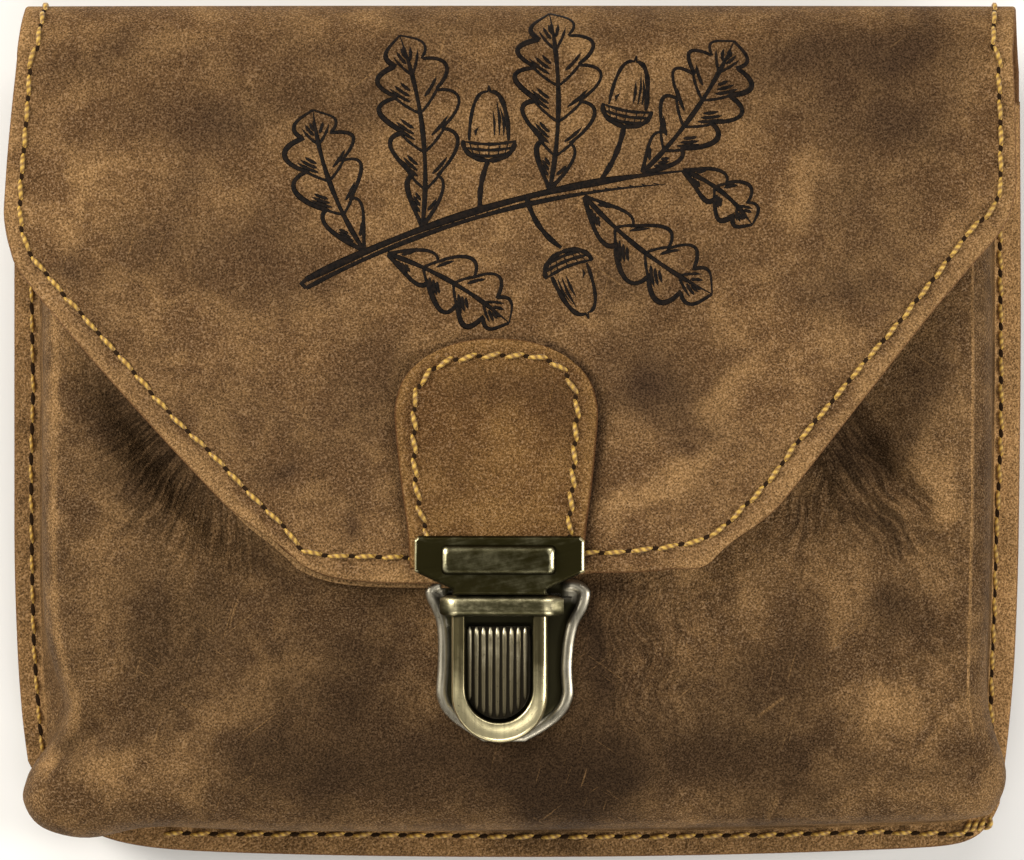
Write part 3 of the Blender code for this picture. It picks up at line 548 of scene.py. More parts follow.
# Smoky patches of the pouch's front, with painted shadow under the flap's slanted edges and beside the lock's
# right side, and painted shade low in the middle.
FRONT_SMOKE_AND_SHADOW = (
    (-59, -37, 11, 12, 0, 0.55), (-29, -59, 15, 6, 4, 0.6), (-24, -47, 8, 6, 0, 0.4),
    (46, -37, 9, 11, -20, 0.55), (42, -57, 16, 8, 6, 0.6), (69, -32, 7, 8, -30, 0.6),
    (-63, -3, 12, 9, -48, 0.85), (60, 0, 6, 11, -60, 0.75), (50, -15, 3, 9, 0, 0.6), (-24, -27, 9, 6, 0, 0.6),
    (22, -31, 9, 9, 0, 0.4), (-78, -40, 4, 18, 0, 0.35), (72, 8, 6, 16, -20, 0.5), (78, -45, 4, 14, 0, 0.35),
    (-44, -22, 9, 6, -30, 0.6), (62, -14, 10, 4, -55, 0.6), (8, -58, 36, 10, 3, 0.9),
    (30, -48, 16, 9, 0, 0.4), (-28, -38, 18, 13, 10, 0.75), (-70, -50, 8, 6, 0, 0.4),
    (-28, -57, 20, 9, 0, 0.8), (-66, -28, 16, 10, 0, 0.4), (-70, 2, 10, 14, 0, 0.35),
    (58, -62, 18, 3, 0, 0.5), (-79, -54, 3, 5, 40, 0.6), (13.4, -37, 5.2, 15, 0, 0.95),
    (-2, -58, 12, 4, 0, 0.5),
)
FRONT_RUB = (
    (-40, -44, 20, 4, 26, 0.6), (-72, -20, 5, 14, 0, 0.35), (-74, -58, 8, 4, 20, 0.5),
    (20, -48, 14, 6, 10, 0.35), (66, -48, 10, 6, 0, 0.4), (30, -24, 8, 6, -10, 0.4),
    (-50, -60, 10, 4, 0, 0.35), (43.5, -62.6, 0.5, 1.6, 0, 0.9), (0, -64, 50, 2, 0, 0.35),
    (72, -10, 10, 3, -50, 0.5), (56, -36, 8, 4, 70, 0.3),
)


def pouch_point(u, v, side_height, bottom_height):
    """Points of the pouch at shares across and up, where its side and bottom walls have these heights."""
    x, y = panel_point(u, v)
    share = side_height * bottom_height
    free, below_flap = 1 - seat_share(x, y), fade((y - FLAP_TIP) / SEAT_FADE + 1)
    dents = pressed(x, y, FRONT_DENTS) * free
    z = FLANGE_TOP + share * (front_height(x, y) - FLANGE_TOP + np.minimum(dents, 0) * share)
    creases = pressed(x, y, FRONT_CREASES) * free * share
    z += np.maximum(dents, 0) * share * below_flap + np.where(creases < 0, creases, creases * below_flap)
    for centre_x, centre_y, reach, out_x, out_y in CORNER_BULGES:
        away = np.hypot(x * 1000 - centre_x, y * 1000 - centre_y) / reach
        near = np.exp(-(away**2)) * (1 - fade(share / 0.4)) / 1000
        x, y = x + out_x * near, y + out_y * near
    return sheet(x, y, z)


# Distances in from the pouch's edge, close together on the flange's edge and down the steep wall.
runs = np.array([
    0.02, 0.04, 0.06, 0.085, 0.11, 0.135, 0.16, 0.19, 0.23, 0.28, 0.34, 0.38, 0.41, 0.43, 0.445, 0.457,
    0.469, 0.484, 0.504, 0.53, 0.58, 0.65, 0.73, 0.82, 0.91, 1,
])
on_flange = [*EDGE_STEPS[:4], 0.001, 0.0016, 0.0023, 0.003, 0.0037, FLANGE]
distances = np.concatenate((on_flange, FLANGE + WALL_RUN * runs))
heights = np.concatenate((np.zeros(len(on_flange)), smooth(WALL_SECTION, runs, 1)))
half = BACK_WIDTH / 2
inner_u = np.linspace(distances[-1] / half - 1, 1 - distances[-1] / half, 172)[1:-1]
inner_v = np.linspace(distances[-1] / PANEL_LENGTH, POUCH_LENGTH / PANEL_LENGTH, 138)[1:]
pouch_u = np.concatenate((distances / half - 1, inner_u, 1 - distances[::-1] / half))
pouch_v = np.concatenate((distances / PANEL_LENGTH, inner_v))[:, None]
pouch_side = np.concatenate((heights, 1 + 0 * inner_u, heights[::-1]))
pouch_low = np.concatenate((heights, 1 + 0 * inner_v))[:, None]
pouch_outer = pouch_point(pouch_u, pouch_v, pouch_side, pouch_low)
pouch_x, pouch_y = pouch_outer[..., 0], pouch_outer[..., 1]
share_up = pouch_side * pouch_low
slack = 0.0009 * (uneven(pouch_x, pouch_y, 34, 6) - 1) + 0.0004 * (uneven(pouch_x, pouch_y, 95, 7) - 1)
pouch_outer[..., 2] += slack * share_up * (1 - seat_share(pouch_x, pouch_y))
# The folds where the front turns down into its side walls are rubbed light and painted with a highlight. The
# right one is sharp, and stands this far from the panel's edge.
RIGHT_FOLD, LEFT_FOLD = 0.00979, 0.0084
right_fold = np.exp(-((((1 - pouch_u) * half - RIGHT_FOLD) / 0.00026) ** 2))
right_fold = right_fold * fade((-0.044 - pouch_y) / 0.014)
left_fold = np.exp(-((((1 + pouch_u) * half - LEFT_FOLD) / 0.001) ** 2)) * (pouch_y > -0.058)
pouch_outer[..., 2] += 0.00035 * right_fold * share_up
spots = wandered(pouch_x, pouch_y, 12)
fold_rub_and_highlight = (1.5 * right_fold + 0.75 * left_fold) * (0.8 + 0.3 * uneven(pouch_x, pouch_y, 90, 21))
# The right side wall, below the mouth, is painted darker as shade.
right_wall_shade = 0.45 * (pouch_u > 1 - RIGHT_FOLD / half) * (share_up > 0.05) * fade((-0.035 - pouch_y) / 0.012)
right_wall_shade = right_wall_shade * (0.8 + 0.8 * uneven(pouch_x, pouch_y, 130, 22))
# The flanges are rubbed lighter; the right flange is painted much lighter still, as painted light.
flange_rub_and_light = (share_up < 0.05) * np.where(pouch_x > 0.08, 1.5, 0.5)
# Where fine wrinkles show. They fan out from a point each on the left, in the middle, at the right dent
# and on the right: the fans' centres in metres, and their reaches.
WRINKLED = (
    (64, -13, 17, 7, -55, 1), (57, -2, 9, 7, -50, 0.9), (50, -14, 11, 5, 90, 0.85), (-61, -8, 14, 9, -50, 1),
    (23, -36, 15, 10, 90, 0.75), (-28, -44, 14, 10, 0, 0.3), (-50, -18, 8, 6, 0, 0.5),
    (72, -40, 5, 9, 0, 0.35),
)
FANS = ((-0.048, 0.012, 0.027), (0.022, 0.06, 0.095), (0.057, 0.018, 0.033), (0.032, 0.032, 0.045))
sides = [pouch_x < -0.04, pouch_x < 0.038, pouch_x < 0.0513 - 0.35 * pouch_y]
fan_x, fan_y, fan_reach = (np.select(sides, column[:3], column[3]) for column in zip(*FANS))
turned_by = np.arctan2(pouch_x - fan_x, fan_y - pouch_y) + 0.03 * uneven(pouch_x, pouch_y, 140, 23)
POUCH_COLOURS = (0.084, 0.0455, 0.019), (0.262, 0.148, 0.059), (0.03, 0.0173, 0.009), CUT_EDGE_BROWN
front_pouch = leather_shell(
    "front_pouch_leather", pouch_outer, POUCH_LEATHER,
    waxed_leather("formed brown leather", *POUCH_COLOURS, crease=2),
    smoke=np.maximum(patches(*spots, FRONT_SMOKE_AND_SHADOW), right_wall_shade),
    rub=np.maximum.reduce([patches(*spots, FRONT_RUB), fold_rub_and_highlight, flange_rub_and_light]), creased=patches(*spots, WRINKLED),
    beside_pull=fan_reach * turned_by, along_pull=np.hypot(pouch_x - fan_x, pouch_y - fan_y),
)
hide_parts("front_pouch")
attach(front_pouch, "bag")

# Belt loop. A plain strap of the same leather behind the bag, sewn down in a box of stitches at both
# ends, with room for a belt between. It carries the bag's weight, so it is the thickest leather.
LOOP_WIDTH, LOOP_FLAT, LOOP_STEP, LOOP_SEWN = 0.084, 0.062, 0.007, 0.008
LOOP_CENTRE, LOOP_LEATHER = 0.006, 0.0022
loop_sewn_level = BACK_REAR - 0.0003 - LOOP_LEATHER
end = LOOP_FLAT / 2 + LOOP_STEP + LOOP_SEWN
loop_y = end * (2 * close_set(2 * end, 90)[:, None] - 1)
loop_z = loop_sewn_level * fade((end - LOOP_SEWN - abs(loop_y)) / LOOP_STEP)
loop_outer = sheet(LOOP_WIDTH / 2 * (2 * close_set(LOOP_WIDTH, 40) - 1), LOOP_CENTRE + loop_y, loop_z)
belt_loop = leather_shell(
    "belt_loop_leather", loop_outer, LOOP_LEATHER, flap_finish, turned=True, smoke=0.1, rub=0.25,
)
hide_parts("belt_loop")
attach(belt_loop, "bag")

# Closure tab. A small stitched tongue of smoother, redder leather with a round top, sewn on the flap;
# its lower end is clamped between the two halves of the lock's plate.
TAB_WIDTH, TAB_TOP, TAB_LENGTH, TAB_X = 0.035, 0.0164, 0.0398, -0.0032
TAB_LEATHER, TAB_ROUND, TAB_BORDER = 0.0016, 0.0032, 0.0021
TAB_STACK = LEATHER_GAP + TAB_LEATHER
TAB_EDGES = (
    (0, 0.69), (0.08, 0.85), (0.18, 0.955), (0.31, 1), (0.42, 0.985), (0.65, 0.93), (0.85, 0.87), (1, 0.85),
)
TAB_SEAM = (
    (-14.9, -17.8), (-16.3, -13.2), (-17.1, -8), (-17.3, -2.9), (-17.3, 2.3), (-17.2, 6), (-16, 9),
    (-14.1, 11), (-12.2, 12.1), (-9.8, 12.8), (-6.9, 13.2), (-2.6, 13.4), (3.5, 13.2), (6.9, 12.1), (8.9, 10),
    (10.3, 7.1), (10.7, 4), (10.3, -1.2), (10.1, -5.5), (9.8, -9.7), (9.4, -14), (9.3, -17.8),
)
TAB_COLOURS = (0.098, 0.048, 0.0165), (0.182, 0.096, 0.031), (0.053, 0.027, 0.012), (0.075, 0.028, 0.012)
tab_u = 2 * close_set(TAB_WIDTH, 44) - 1
v = close_set(TAB_LENGTH, 50)[:, None]
tab_x = TAB_X + TAB_WIDTH / 2 * smooth(TAB_EDGES, v, 1) * tab_u
top_round = TAB_ROUND * abs(tab_u) ** 2.4
tab_y = TAB_TOP - v * TAB_LENGTH - top_round * np.maximum(0, 1 - v / 0.45) ** 1.5
tab_z = flap_height(tab_x, tab_y) + TAB_STACK + sewn_dip(tab_x, tab_y, TAB_SEAM, 0.00025, SEAM_REACH)
to_top = np.maximum(0, TAB_TOP - top_round - tab_y)
border = np.exp(-((np.minimum((1 - abs(tab_u)) * TAB_WIDTH / 2, to_top) / TAB_BORDER) ** 2))
tab_smoke = patches(tab_x, tab_y, ((-3, 8, 12, 4, 0, 0.5), (8, 4, 5, 8, 0, 0.4), (-10, -6, 6, 8, 0, 0.35)))
tab_rub = patches(tab_x, tab_y, ((-4, -14, 14, 4, 0, 0.45), (-2, 0, 6, 6, 0, 0.2)))
closure_tab = leather_shell(
    "closure_tab_leather", sheet(tab_x, tab_y, tab_z), TAB_LEATHER,
    waxed_leather("tab leather", *TAB_COLOURS, 0.8, 0.3), turned=True,
    smoke=tab_smoke * (1 - border), rub=np.maximum(0.75 * border, 0.1 + tab_rub),
)
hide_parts("closure_tab")
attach(closure_tab, "bag")

# Sewing. Waxed golden thread, about 1 mm thick, machine sewn through awl holes: along the flap's edge and
# round its fold, down both flanges and the bottom, round the tab, and in boxes on the belt loop.
STITCH_PITCH, STITCH_LENGTH, THREAD_RADIUS = 0.0046, 0.0037, 0.00048
GUIDE_STEP, BACK_SEAM_INSET, LOOP_SEAM_INSET = 0.001, 0.0034, 0.003
# The pouch's seams, in millimetres.
SIDE_SEAM_LEFT = (
    (-85.4, 30), (-85.2, 18.2), (-85, 7.8), (-85.4, -5.3), (-85.2, -25.4), (-84.9, -36.9), (-84.5, -43.2),
    (-84, -49.6), (-83.5, -55),
)
SIDE_SEAM_RIGHT = (
    (85.5, 40), (85.6, 33.6), (85.8, 16.4), (85.8, -0.5), (85.3, -10.9), (84.9, -19.6), (84.6, -31.2),
    (84.2, -39.9), (84, -48.5), (84.4, -56.5),
)
BOTTOM_SEAM = (
    (-60.3, -70.6), (-50.4, -70.8), (-33.3, -70.8), (-16, -71), (-0.5, -71.2), (22.6, -71.2), (45.6, -70.9),
    (62.9, -70.4), (80.2, -70.8),
)
SEAM_INPUTS = (
    ("Pitch", "Float", STITCH_PITCH), ("Length", "Float", STITCH_LENGTH), ("Thread", "Float", THREAD_RADIUS),
    ("Slant", "Float", 0), ("Seed", "Int", 7),
)


def new_tree(name, inputs):
    """Starts a geometry tree with a guide, named inputs, a finish and one result. Gives it and its inputs."""
    global tree
    tree = bpy.data.node_groups.new(name, "GeometryNodeTree")
    for label, kind, value in (("Guide", "Geometry", None), *inputs, ("Finish", "Material", None)):
        socket = tree.interface.new_socket(label, in_out="INPUT", socket_type="NodeSocket" + kind)
        if value is not None:
            socket.default_value = value
    tree.interface.new_socket("Result", in_out="OUTPUT", socket_type="NodeSocketGeometry")
    return tree, {socket.name: Flow(socket) for socket in tree.nodes.new("NodeGroupInput").outputs}


def end_tree(shape, finish):
    """The end of every tree: real geometry, smooth, with its finish."""
    shape = add("SetShadeSmooth", {0: add("RealizeInstances", {0: shape})})
    wire(tree.nodes.new("NodeGroupOutput").inputs[0], add("SetMaterial", {0: shape, "Material": finish}))


def grow(name, guide_mesh, grown_by, **values):
    """Runs a tree on a guide and keeps the result as a plain mesh; the guide and its modifier go."""
    guide = shown(guide_mesh.name, guide_mesh)
    modifier = guide.modifiers.new(name, "NODES")
    modifier.node_group = grown_by
    for socket in grown_by.interface.items_tree:
        if socket.in_out == "INPUT" and socket.name in values:
            modifier[socket.identifier] = values[socket.name]
    graph = bpy.context.evaluated_depsgraph_get()
    mesh = bpy.data.meshes.new_from_object(guide.evaluated_get(graph))
    mesh.name = name
    bpy.data.objects.remove(guide)
    return shown(name, mesh)


def seam_guide(name, leather, lines):
    """Lines on the leather: each point goes to its nearest place and keeps the way out of it."""
    corners, faces = [v.co for v in leather.data.vertices], [p.vertices for p in leather.data.polygons]
    surface = BVHTree.FromPolygons(corners, faces)
    hits, edges = [], []
    for line in lines:
        first = len(hits)
        line = [Vector(point) for point in line]
        for a, b in zip(line[:-1], line[1:]):
            count = max(1, round((b - a).length / GUIDE_STEP))
            hits += [surface.find_nearest(a.lerp(b, i / count)) for i in range(count)]
        hits.append(surface.find_nearest(line[-1]))
        edges += [(i, i + 1) for i in range(first, len(hits) - 1)]
    mesh = bpy.data.meshes.new(name)
    mesh.from_pydata([hit[0] for hit in hits], edges, [])
    ways = np.array([hit[1] for hit in hits], float).ravel()
    mesh.attributes.new("way_out", "FLOAT_VECTOR", "POINT").data.foreach_set("vector", ways)
    return mesh


def along_seam(given, shape, odd):
    """Puts a shape at each stitch of the guide, or between them, along the seam and out of the leather."""
    line = add("MeshToCurve", {0: given["Guide"]})
    spaced = add("ResampleCurve", {0: line, "Length": given["Pitch"] * 0.5}, mode="LENGTH")
    step = calc("MODULO", add("SplineParameter", output="Index"), 2)
    way = add("InputNamedAttribute", {"Name": "way_out"}, data_type="FLOAT_VECTOR")
    axes = {0: way, 1: add("InputTangent")}
    facing = add("FunctionNodeAxesToRotation", axes, primary_axis="Z", secondary_axis="X")
    wander = add("FunctionNodeRandomValue", {2: -0.05, 3: 0.05, "Seed": given["Seed"]}, 1, data_type="FLOAT")
    turn = add("FunctionNodeAxisAngleToRotation", {"Axis": (0, 0, 1), "Angle": given["Slant"] + wander})
    turned = add("FunctionNodeRotateRotation", {0: facing, 1: turn}, rotation_space="LOCAL")
    chosen = calc("COMPARE", step, odd, 0.1)
    return add("InstanceOnPoints", {0: spaced, "Selection": chosen, "Instance": shape, "Rotation": turned})


stitch_tree, given = new_tree("thread stitches", SEAM_INPUTS)
length, radius = given["Length"], given["Thread"]
start, middle, end = (xyz(length * x, 0, radius * z) for x, z in ((-0.5, -0.6), (0, 2.4), (0.5, -0.6)))
arch = add("CurveQuadraticBezier", {"Resolution": 7, "Start": start, "Middle": middle, "End": end})
ring = add("CurvePrimitiveCircle", {"Resolution": 6, "Radius": radius})
belly = calc("SINE", add("SplineParameter") * math.pi).scaled(0.42, 0.58)
thread = add("CurveToMesh", {0: arch, 1: ring, "Scale": belly, "Fill Caps": True})
wires = {0: thread, "Name": "in_stitch", "Value": add("InputPosition")}
thread = add("StoreNamedAttribute", wires, data_type="FLOAT_VECTOR", domain="POINT")
end_tree(along_seam(given, thread, 0), given["Finish"])

# The awl holes: flat near-black blobs between the stitches, the painted shade inside each hole.
hole_tree, given = new_tree("awl holes", SEAM_INPUTS)
ball = add("MeshUVSphere", {"Segments": 10, "Rings": 5, "Radius": 0.001})
hole_size = xyz((given["Pitch"] - given["Length"]).scaled(500, 0.25), 0.4, 0.12)
end_tree(along_seam(given, add("Transform", {0: ball, "Scale": hole_size}), 1), given["Finish"])

thread_finish, place = new_finish("waxed golden thread")
along = add("ShaderNodeSeparateXYZ", {0: painted("in_stitch", "Vector")})
beside = along.other(1)
strand = calc("SINE", along * 5200 + calc("ARCTAN2", beside, along.other(2)) * 2).scaled(0.5, 0.5)
fibre = cloud(place, 3500, 2)
# The twisted strands are painted light, with painted shade in the grooves between them.
golden = tint(strand, (0.22, 0.105, 0.015), (0.62, 0.38, 0.062))
golden = tint(cloud(place, 160, 3).step(0.45, 0.8, 0, 0.5), golden, (0.26, 0.14, 0.032))
golden = tint(fibre.step(0.55, 0.8, 0, 0.35), golden, (0.86, 0.61, 0.17))
# The thread is painted darker along its sides, as shade.
golden = tint(calc("ABSOLUTE", beside).step(0.00022, 0.00042, 0, 0.6), golden, (0.1, 0.05, 0.012))
wires = {"Base Color": golden, "Roughness": fibre.step(0.2, 0.8, 0.42, 0.58), "Sheen Weight": 0.1}
end_finish(wires, fibre.scaled(0.3, strand), 0.6, 0.00009)

# Near-black painted shade for the awl holes.
hole_shade_finish, place = new_finish("awl hole")
dark = tint(cloud(place, 900, 3), (0.008, 0.004, 0.002), (0.03, 0.015, 0.005))
rough = cloud(place, 700, 2).step(0.3, 0.7, 0.85, 1)
end_finish({"Base Color": dark, "Roughness": rough, "Specular IOR Level": 0.1})


def raised(line, height):
    """Line given in millimetres, at the level that a height function gives."""
    return [(x / 1000, y / 1000, float(height(x / 1000, y / 1000))) for x, y in line]


def on_fold(u):
    """Line over the top fold at a share across it, from the flap round to the back panel."""
    return sheet(*fold_point(u, np.linspace(1, 0, 14))).tolist()


def panel_rim(inset):
    """Line inside the back panel's edge: down the left side, along the bottom and up the right."""
    side, low = 1 - inset / (BACK_WIDTH / 2), inset / PANEL_LENGTH
    corner = np.linspace(0, 1.2, 8)[1:]
    round_corner = low + (0.16 - low) * (1 - np.sin(corner)) ** 2
    us = np.full(16, -side), -side * np.cos(corner) ** 0.25, np.linspace(-0.72, 0.9, 22), np.full(18, side)
    vs = np.linspace(0.98, 0.16, 16), round_corner, np.full(22, low), np.linspace(0.05, 0.98, 18)
    return sheet(*panel_point(np.concatenate(us), np.concatenate(vs)), BACK_REAR).tolist()


def flange(x, y):
    return FLANGE_TOP


def tab_level(x, y):
    return flap_height(x, y) + TAB_STACK


def sew(name, leather, lines, **values):
    """One seam: its thread and the painted shade of its holes, riding on the bag."""
    guide = seam_guide(name, leather, lines)
    thread = grow(name + "_thread", guide, stitch_tree, Finish=thread_finish, **values)
    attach(thread, "bag")
    holes = grow(name + "_holes", guide, hole_tree, Finish=hole_shade_finish, **values)
    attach(holes, "bag")


left_seam = raised(FLAP_SEAM_LEFT, flap_height) + on_fold(-0.958)
right_seam = raised(FLAP_SEAM_RIGHT, flap_height) + on_fold(0.957)
sew("flap_seam", back_and_flap, [left_seam, right_seam], Slant=0.08, Seed=3)
pouch_lines = [raised(line, flange) for line in (BOTTOM_SEAM, SIDE_SEAM_RIGHT)]
sew("pouch_seam", front_pouch, pouch_lines, Pitch=0.0047, Length=0.0034, Slant=0.14, Seed=5)
left_line = raised(SIDE_SEAM_LEFT, flange)
sew("left_seam", front_pouch, [left_line], Pitch=0.0053, Length=0.0033, Slant=0.08, Thread=0.00036, Seed=6)
knot_line = raised(((79.9, -69.4), (83.7, -69)), flange)
sew("seam_knots", front_pouch, [knot_line], Pitch=0.0011, Length=0.0023, Slant=1.0, Thread=0.0005, Seed=15)
sew("tab_seam", closure_tab, [raised(TAB_SEAM, tab_level)], Pitch=0.004, Length=0.0034, Slant=0.26, Seed=9)
sew("back_seam", back_and_flap, [panel_rim(BACK_SEAM_INSET)], Pitch=0.0047, Length=0.0037, Seed=11)
box_x, box_y = LOOP_WIDTH / 2 - LOOP_SEAM_INSET, LOOP_FLAT / 2 + LOOP_STEP
loop_lines = []
for side in (-1, 1):
    low, high = (LOOP_CENTRE + side * (box_y + out) for out in (0.0018, 0.0058))
    corners = ((-box_x, low), (box_x, low), (box_x, high), (-box_x, high), (-box_x, low))
    loop_lines.append([(x, y, loop_sewn_level) for x, y in corners])
sew("loop_seam", belt_loop, loop_lines, Pitch=0.0042, Length=0.0034, Seed=13)

# Burnt drawing. A generic oak twig with leaves and acorns, burnt into the flap above the tab with a hot
# beam: near-black strokes that swell and run thin, and short shading lines on one side of each leaf.
strokes = []


def bent(start, end, bend, count=16):
    """Points of a line that bows out to its left by a share of its length."""
    start, way = np.array(start, float), np.subtract(end, start)
    t = np.linspace(0, 1, count)[:, None]
    return start + way * t + np.array((-way[1], way[0])) * bend * 4 * t * (1 - t)


def stroke(points, wide, start=0.15, end=0.1):
    """Keeps one burnt line in millimetres, thinner at its ends by the given shares."""
    t = np.linspace(0, 1, len(points))
    swell = np.minimum(1, np.minimum(start + t * 5, end + (1 - t) * 3.5))
    strokes.append((np.array(points), wide / 2 * swell * (1 + 0.15 * np.sin(t * 19 + len(strokes) * 2.1))))


def oak_leaf(foot, tip, wide, lobes, bend, dark_side):
    """Lobed outline, rib, veins, and short shading lines on the dark side."""
    t = np.linspace(0, 1, 100)
    rib = bent(foot, tip, bend, 100)
    way = np.gradient(rib, axis=0)
    way /= np.linalg.norm(way, axis=1, keepdims=True)
    side = np.stack((-way[:, 1], way[:, 0]), axis=1)
    body = wide / 2 * np.sin(math.pi * (0.04 + 0.96 * t) ** 1.35) ** 0.75
    lobe = 0.4 + 0.6 * abs(np.sin(math.pi * (lobes * t - 0.35 * np.sin(math.pi * t)))) ** 0.6
    for hand in (-1, 1):
        edge = rib + (side * hand + way * 0.3) * (body * lobe)[:, None]
        stroke(edge, 0.85 if hand == dark_side else 0.6, 0.6, 0.5)
        for k in range(lobes):
            at = min(96, int((k + 0.62) / lobes * 99))
            root = max(2, at - 13)
            vein_end = rib[root] + 0.74 * (edge[at] - rib[root])
            stroke(bent(rib[root], vein_end, 0.05 * hand, 10), 0.5, 0.9, 0.1)
            for j in (3, 6, 9) if hand == dark_side else (4,):
                low = rib[min(97, root + j)]
                gap = edge[min(99, at + j)] - low
                shading = bent(low + 0.22 * gap, low + (0.8 - 0.03 * j) * gap, 0.04 * hand, 6)
                stroke(shading, 0.6, 0.4, 0.1)
    stroke(rib, 0.8, 1, 0.2)


def acorn(cup, turn, size):
    """Nut with a pointed end in a scaly cup; the turn is the way it points."""
    c, s = math.cos(math.radians(turn)), math.sin(math.radians(turn))

    def at(along, beside):
        return cup[0] + size * (along * c - beside * s), cup[1] + size * (along * s + beside * c)

    for hand in (-1, 1):
        nut = [at(0.95 * math.sin(a), hand * 0.36 * math.cos(a) ** 0.7) for a in np.linspace(0.05, 1.55, 20)]
        stroke(nut + [at(1.06, 0)], 0.8 if hand < 0 else 0.6, 0.6, 0.4)
        rim = [at(0.02 - 0.34 * math.cos(a), hand * 0.47 * math.sin(a)) for a in np.linspace(0, 1.67, 14)]
        stroke(rim, 0.85, 0.6, 0.6)
    for level, reach in ((0.03, 0.46), (-0.08, 0.45), (-0.19, 0.38)):
        row = np.linspace(-reach, reach, 14)
        stroke([at(level - 0.05 * math.cos(b * math.pi / reach / 2), b) for b in row], 0.55, 0.4, 0.4)
    for beside in (-0.3, -0.18, 0, 0.18, 0.3):
        stroke([at(0.02, beside * 1.2), at(-0.24, beside * 0.9)], 0.5, 0.4, 0.4)
    for beside, far in ((-0.27, 0.66), (-0.19, 0.78), (-0.1, 0.6), (0.24, 0.3)):
        stroke([at(0.14, beside), at(far / 2 + 0.07, beside * 1.02), at(far, beside * 0.75)], 0.55, 0.3, 0.1)


stroke(bent((-36, 26.5), (31, 45.5), 0.05, 90), 1.2, 0.8, 0.2)
stroke(bent((-36, 25), (26, 43), 0.055, 90), 0.8, 0.8, 0.1)
stroke([(-36, 26.5), (-36.8, 25.8), (-36, 25)], 0.8, 1, 1)
for start in bent((-34, 26.5), (24, 43.2), 0.053, 30):
    stroke([start, start + (1.3, -0.3)], 0.6, 0.4, 0.1)
for leaf in (
    ((-26, 31.5), (-35, 56), 13, 4, 0.06, 1), ((-16, 35.5), (-20, 69), 14, 5, -0.06, 1),
    ((6, 42), (6, 73), 15, 5, -0.05, 1), ((22, 45), (38, 68), 14, 5, -0.05, -1),
    ((29, 45.5), (41, 36), 8, 3, 0.08, -1), ((-22, 31), (-1, 19), 11, 4, 0.05, -1),
    ((12, 41), (34, 24), 12, 4, -0.05, -1),
):
    oak_leaf(*leaf)
for stalk, nut in (
    (((-6, 38.6), (-4.6, 47.2), 0.06), ((-4.5, 50.2), 90, 9.5)),
    (((2, 41), (8, 32), -0.1), ((9.2, 28.6), -68, 9)),
    (((15, 44), (18.9, 53.2), -0.06), ((19.4, 56), 80, 9)),
):
    stroke(bent(*stalk), 0.9, 0.9, 0.7)
    acorn(*nut)

burn_inputs = ("Leather", "Object", None), ("Flatness", "Float", 0.1), ("Lift", "Float", 0.00003)
burn_tree, given = new_tree("burnt strokes", burn_inputs)
line = add("MeshToCurve", {0: given["Guide"]})
wide = add("InputNamedAttribute", {"Name": "half_width"}, data_type="FLOAT")
ring = add("CurvePrimitiveCircle", {"Resolution": 6, "Radius": 1})
band = add("CurveToMesh", {0: line, 1: ring, "Scale": wide, "Fill Caps": True})
spot_x = add("ShaderNodeSeparateXYZ", {0: add("InputPosition")})
fall = add("Raycast", {
    "Target Geometry": add("ObjectInfo", {0: given["Leather"]}, "Geometry"),
    "Source Position": xyz(spot_x, spot_x.other(1), 0.2), "Ray Direction": (0, 0, -1), "Ray Length": 0.3,
})
out = calc("MULTIPLY_ADD", spot_x.other(2), given["Flatness"], given["Lift"])
proud = add("ShaderNodeVectorMath", {0: fall.other("Hit Normal"), "Scale": out}, operation="SCALE")
landed = add("ShaderNodeVectorMath", {0: fall.other("Hit Position"), 1: proud}, operation="ADD")
end_tree(add("SetPosition", {0: band, "Position": landed}), given["Finish"])

burnt_finish, place = new_finish("burnt leather")
char = cloud(place, 1500, 3, 0.7)
black = tint(char.step(0.35, 0.7), (0.0025, 0.0017, 0.0014), (0.013, 0.0078, 0.0048))
wires = {"Base Color": black, "Roughness": char.step(0.3, 0.7, 0.5, 0.75), "Specular IOR Level": 0.1}
end_finish(wires, char, 0.8, 0.0001)
drawing_guide = bpy.data.meshes.new("drawing_guide")
links, count = [], 0
for points, _ in strokes:
    links += [(i, i + 1) for i in range(count, count + len(points) - 1)]
    count += len(points)
flat = np.concatenate([points for points, _ in strokes]) / 1000
drawing_guide.from_pydata(sheet(flat[:, 0], flat[:, 1], 0).tolist(), links, [])
half_widths = np.concatenate([half_width for _, half_width in strokes]) / 1000
drawing_guide.attributes.new("half_width", "FLOAT", "POINT").data.foreach_set("value", half_widths)
burnt_drawing = grow("burnt_drawing", drawing_guide, burn_tree, Leather=back_and_flap, Finish=burnt_finish)
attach(burnt_drawing, "bag")

# Lock base. A waisted plate pressed from brass sheet with a rolled rim and plated to look old: bright where
# hands and the leather rub the rim, dark in the floor, with painted highlights on the rim's slopes and in its
# ears. Prongs behind it go through the leather.
BASE_TOP, BASE_LENGTH, BASE_LOW, BASE_FLOOR = 0.0145, 0.0281, 0.0003, 0.42
EAR_ROUND, RIM_BREADTH = 0.003, 1.6
# Its outline, in millimetres: down from the top, out to the left, out to the right.
BASE_EDGES = (
    (0, 13.6, 14.6), (1.9, 13.8, 15), (3.6, 13.4, 14.8), (5.5, 12.5, 14.2), (7, 11.9, 13.3),
    (8.7, 11.55, 12.6), (12.1, 11.4, 12), (15.6, 11.5, 11.8), (19.5, 11.75, 12), (21.9, 11.2, 11.4),
    (24.1, 9.5, 9.8), (26.4, 6.4, 6.7), (28.1, 3.6, 3.6),
)
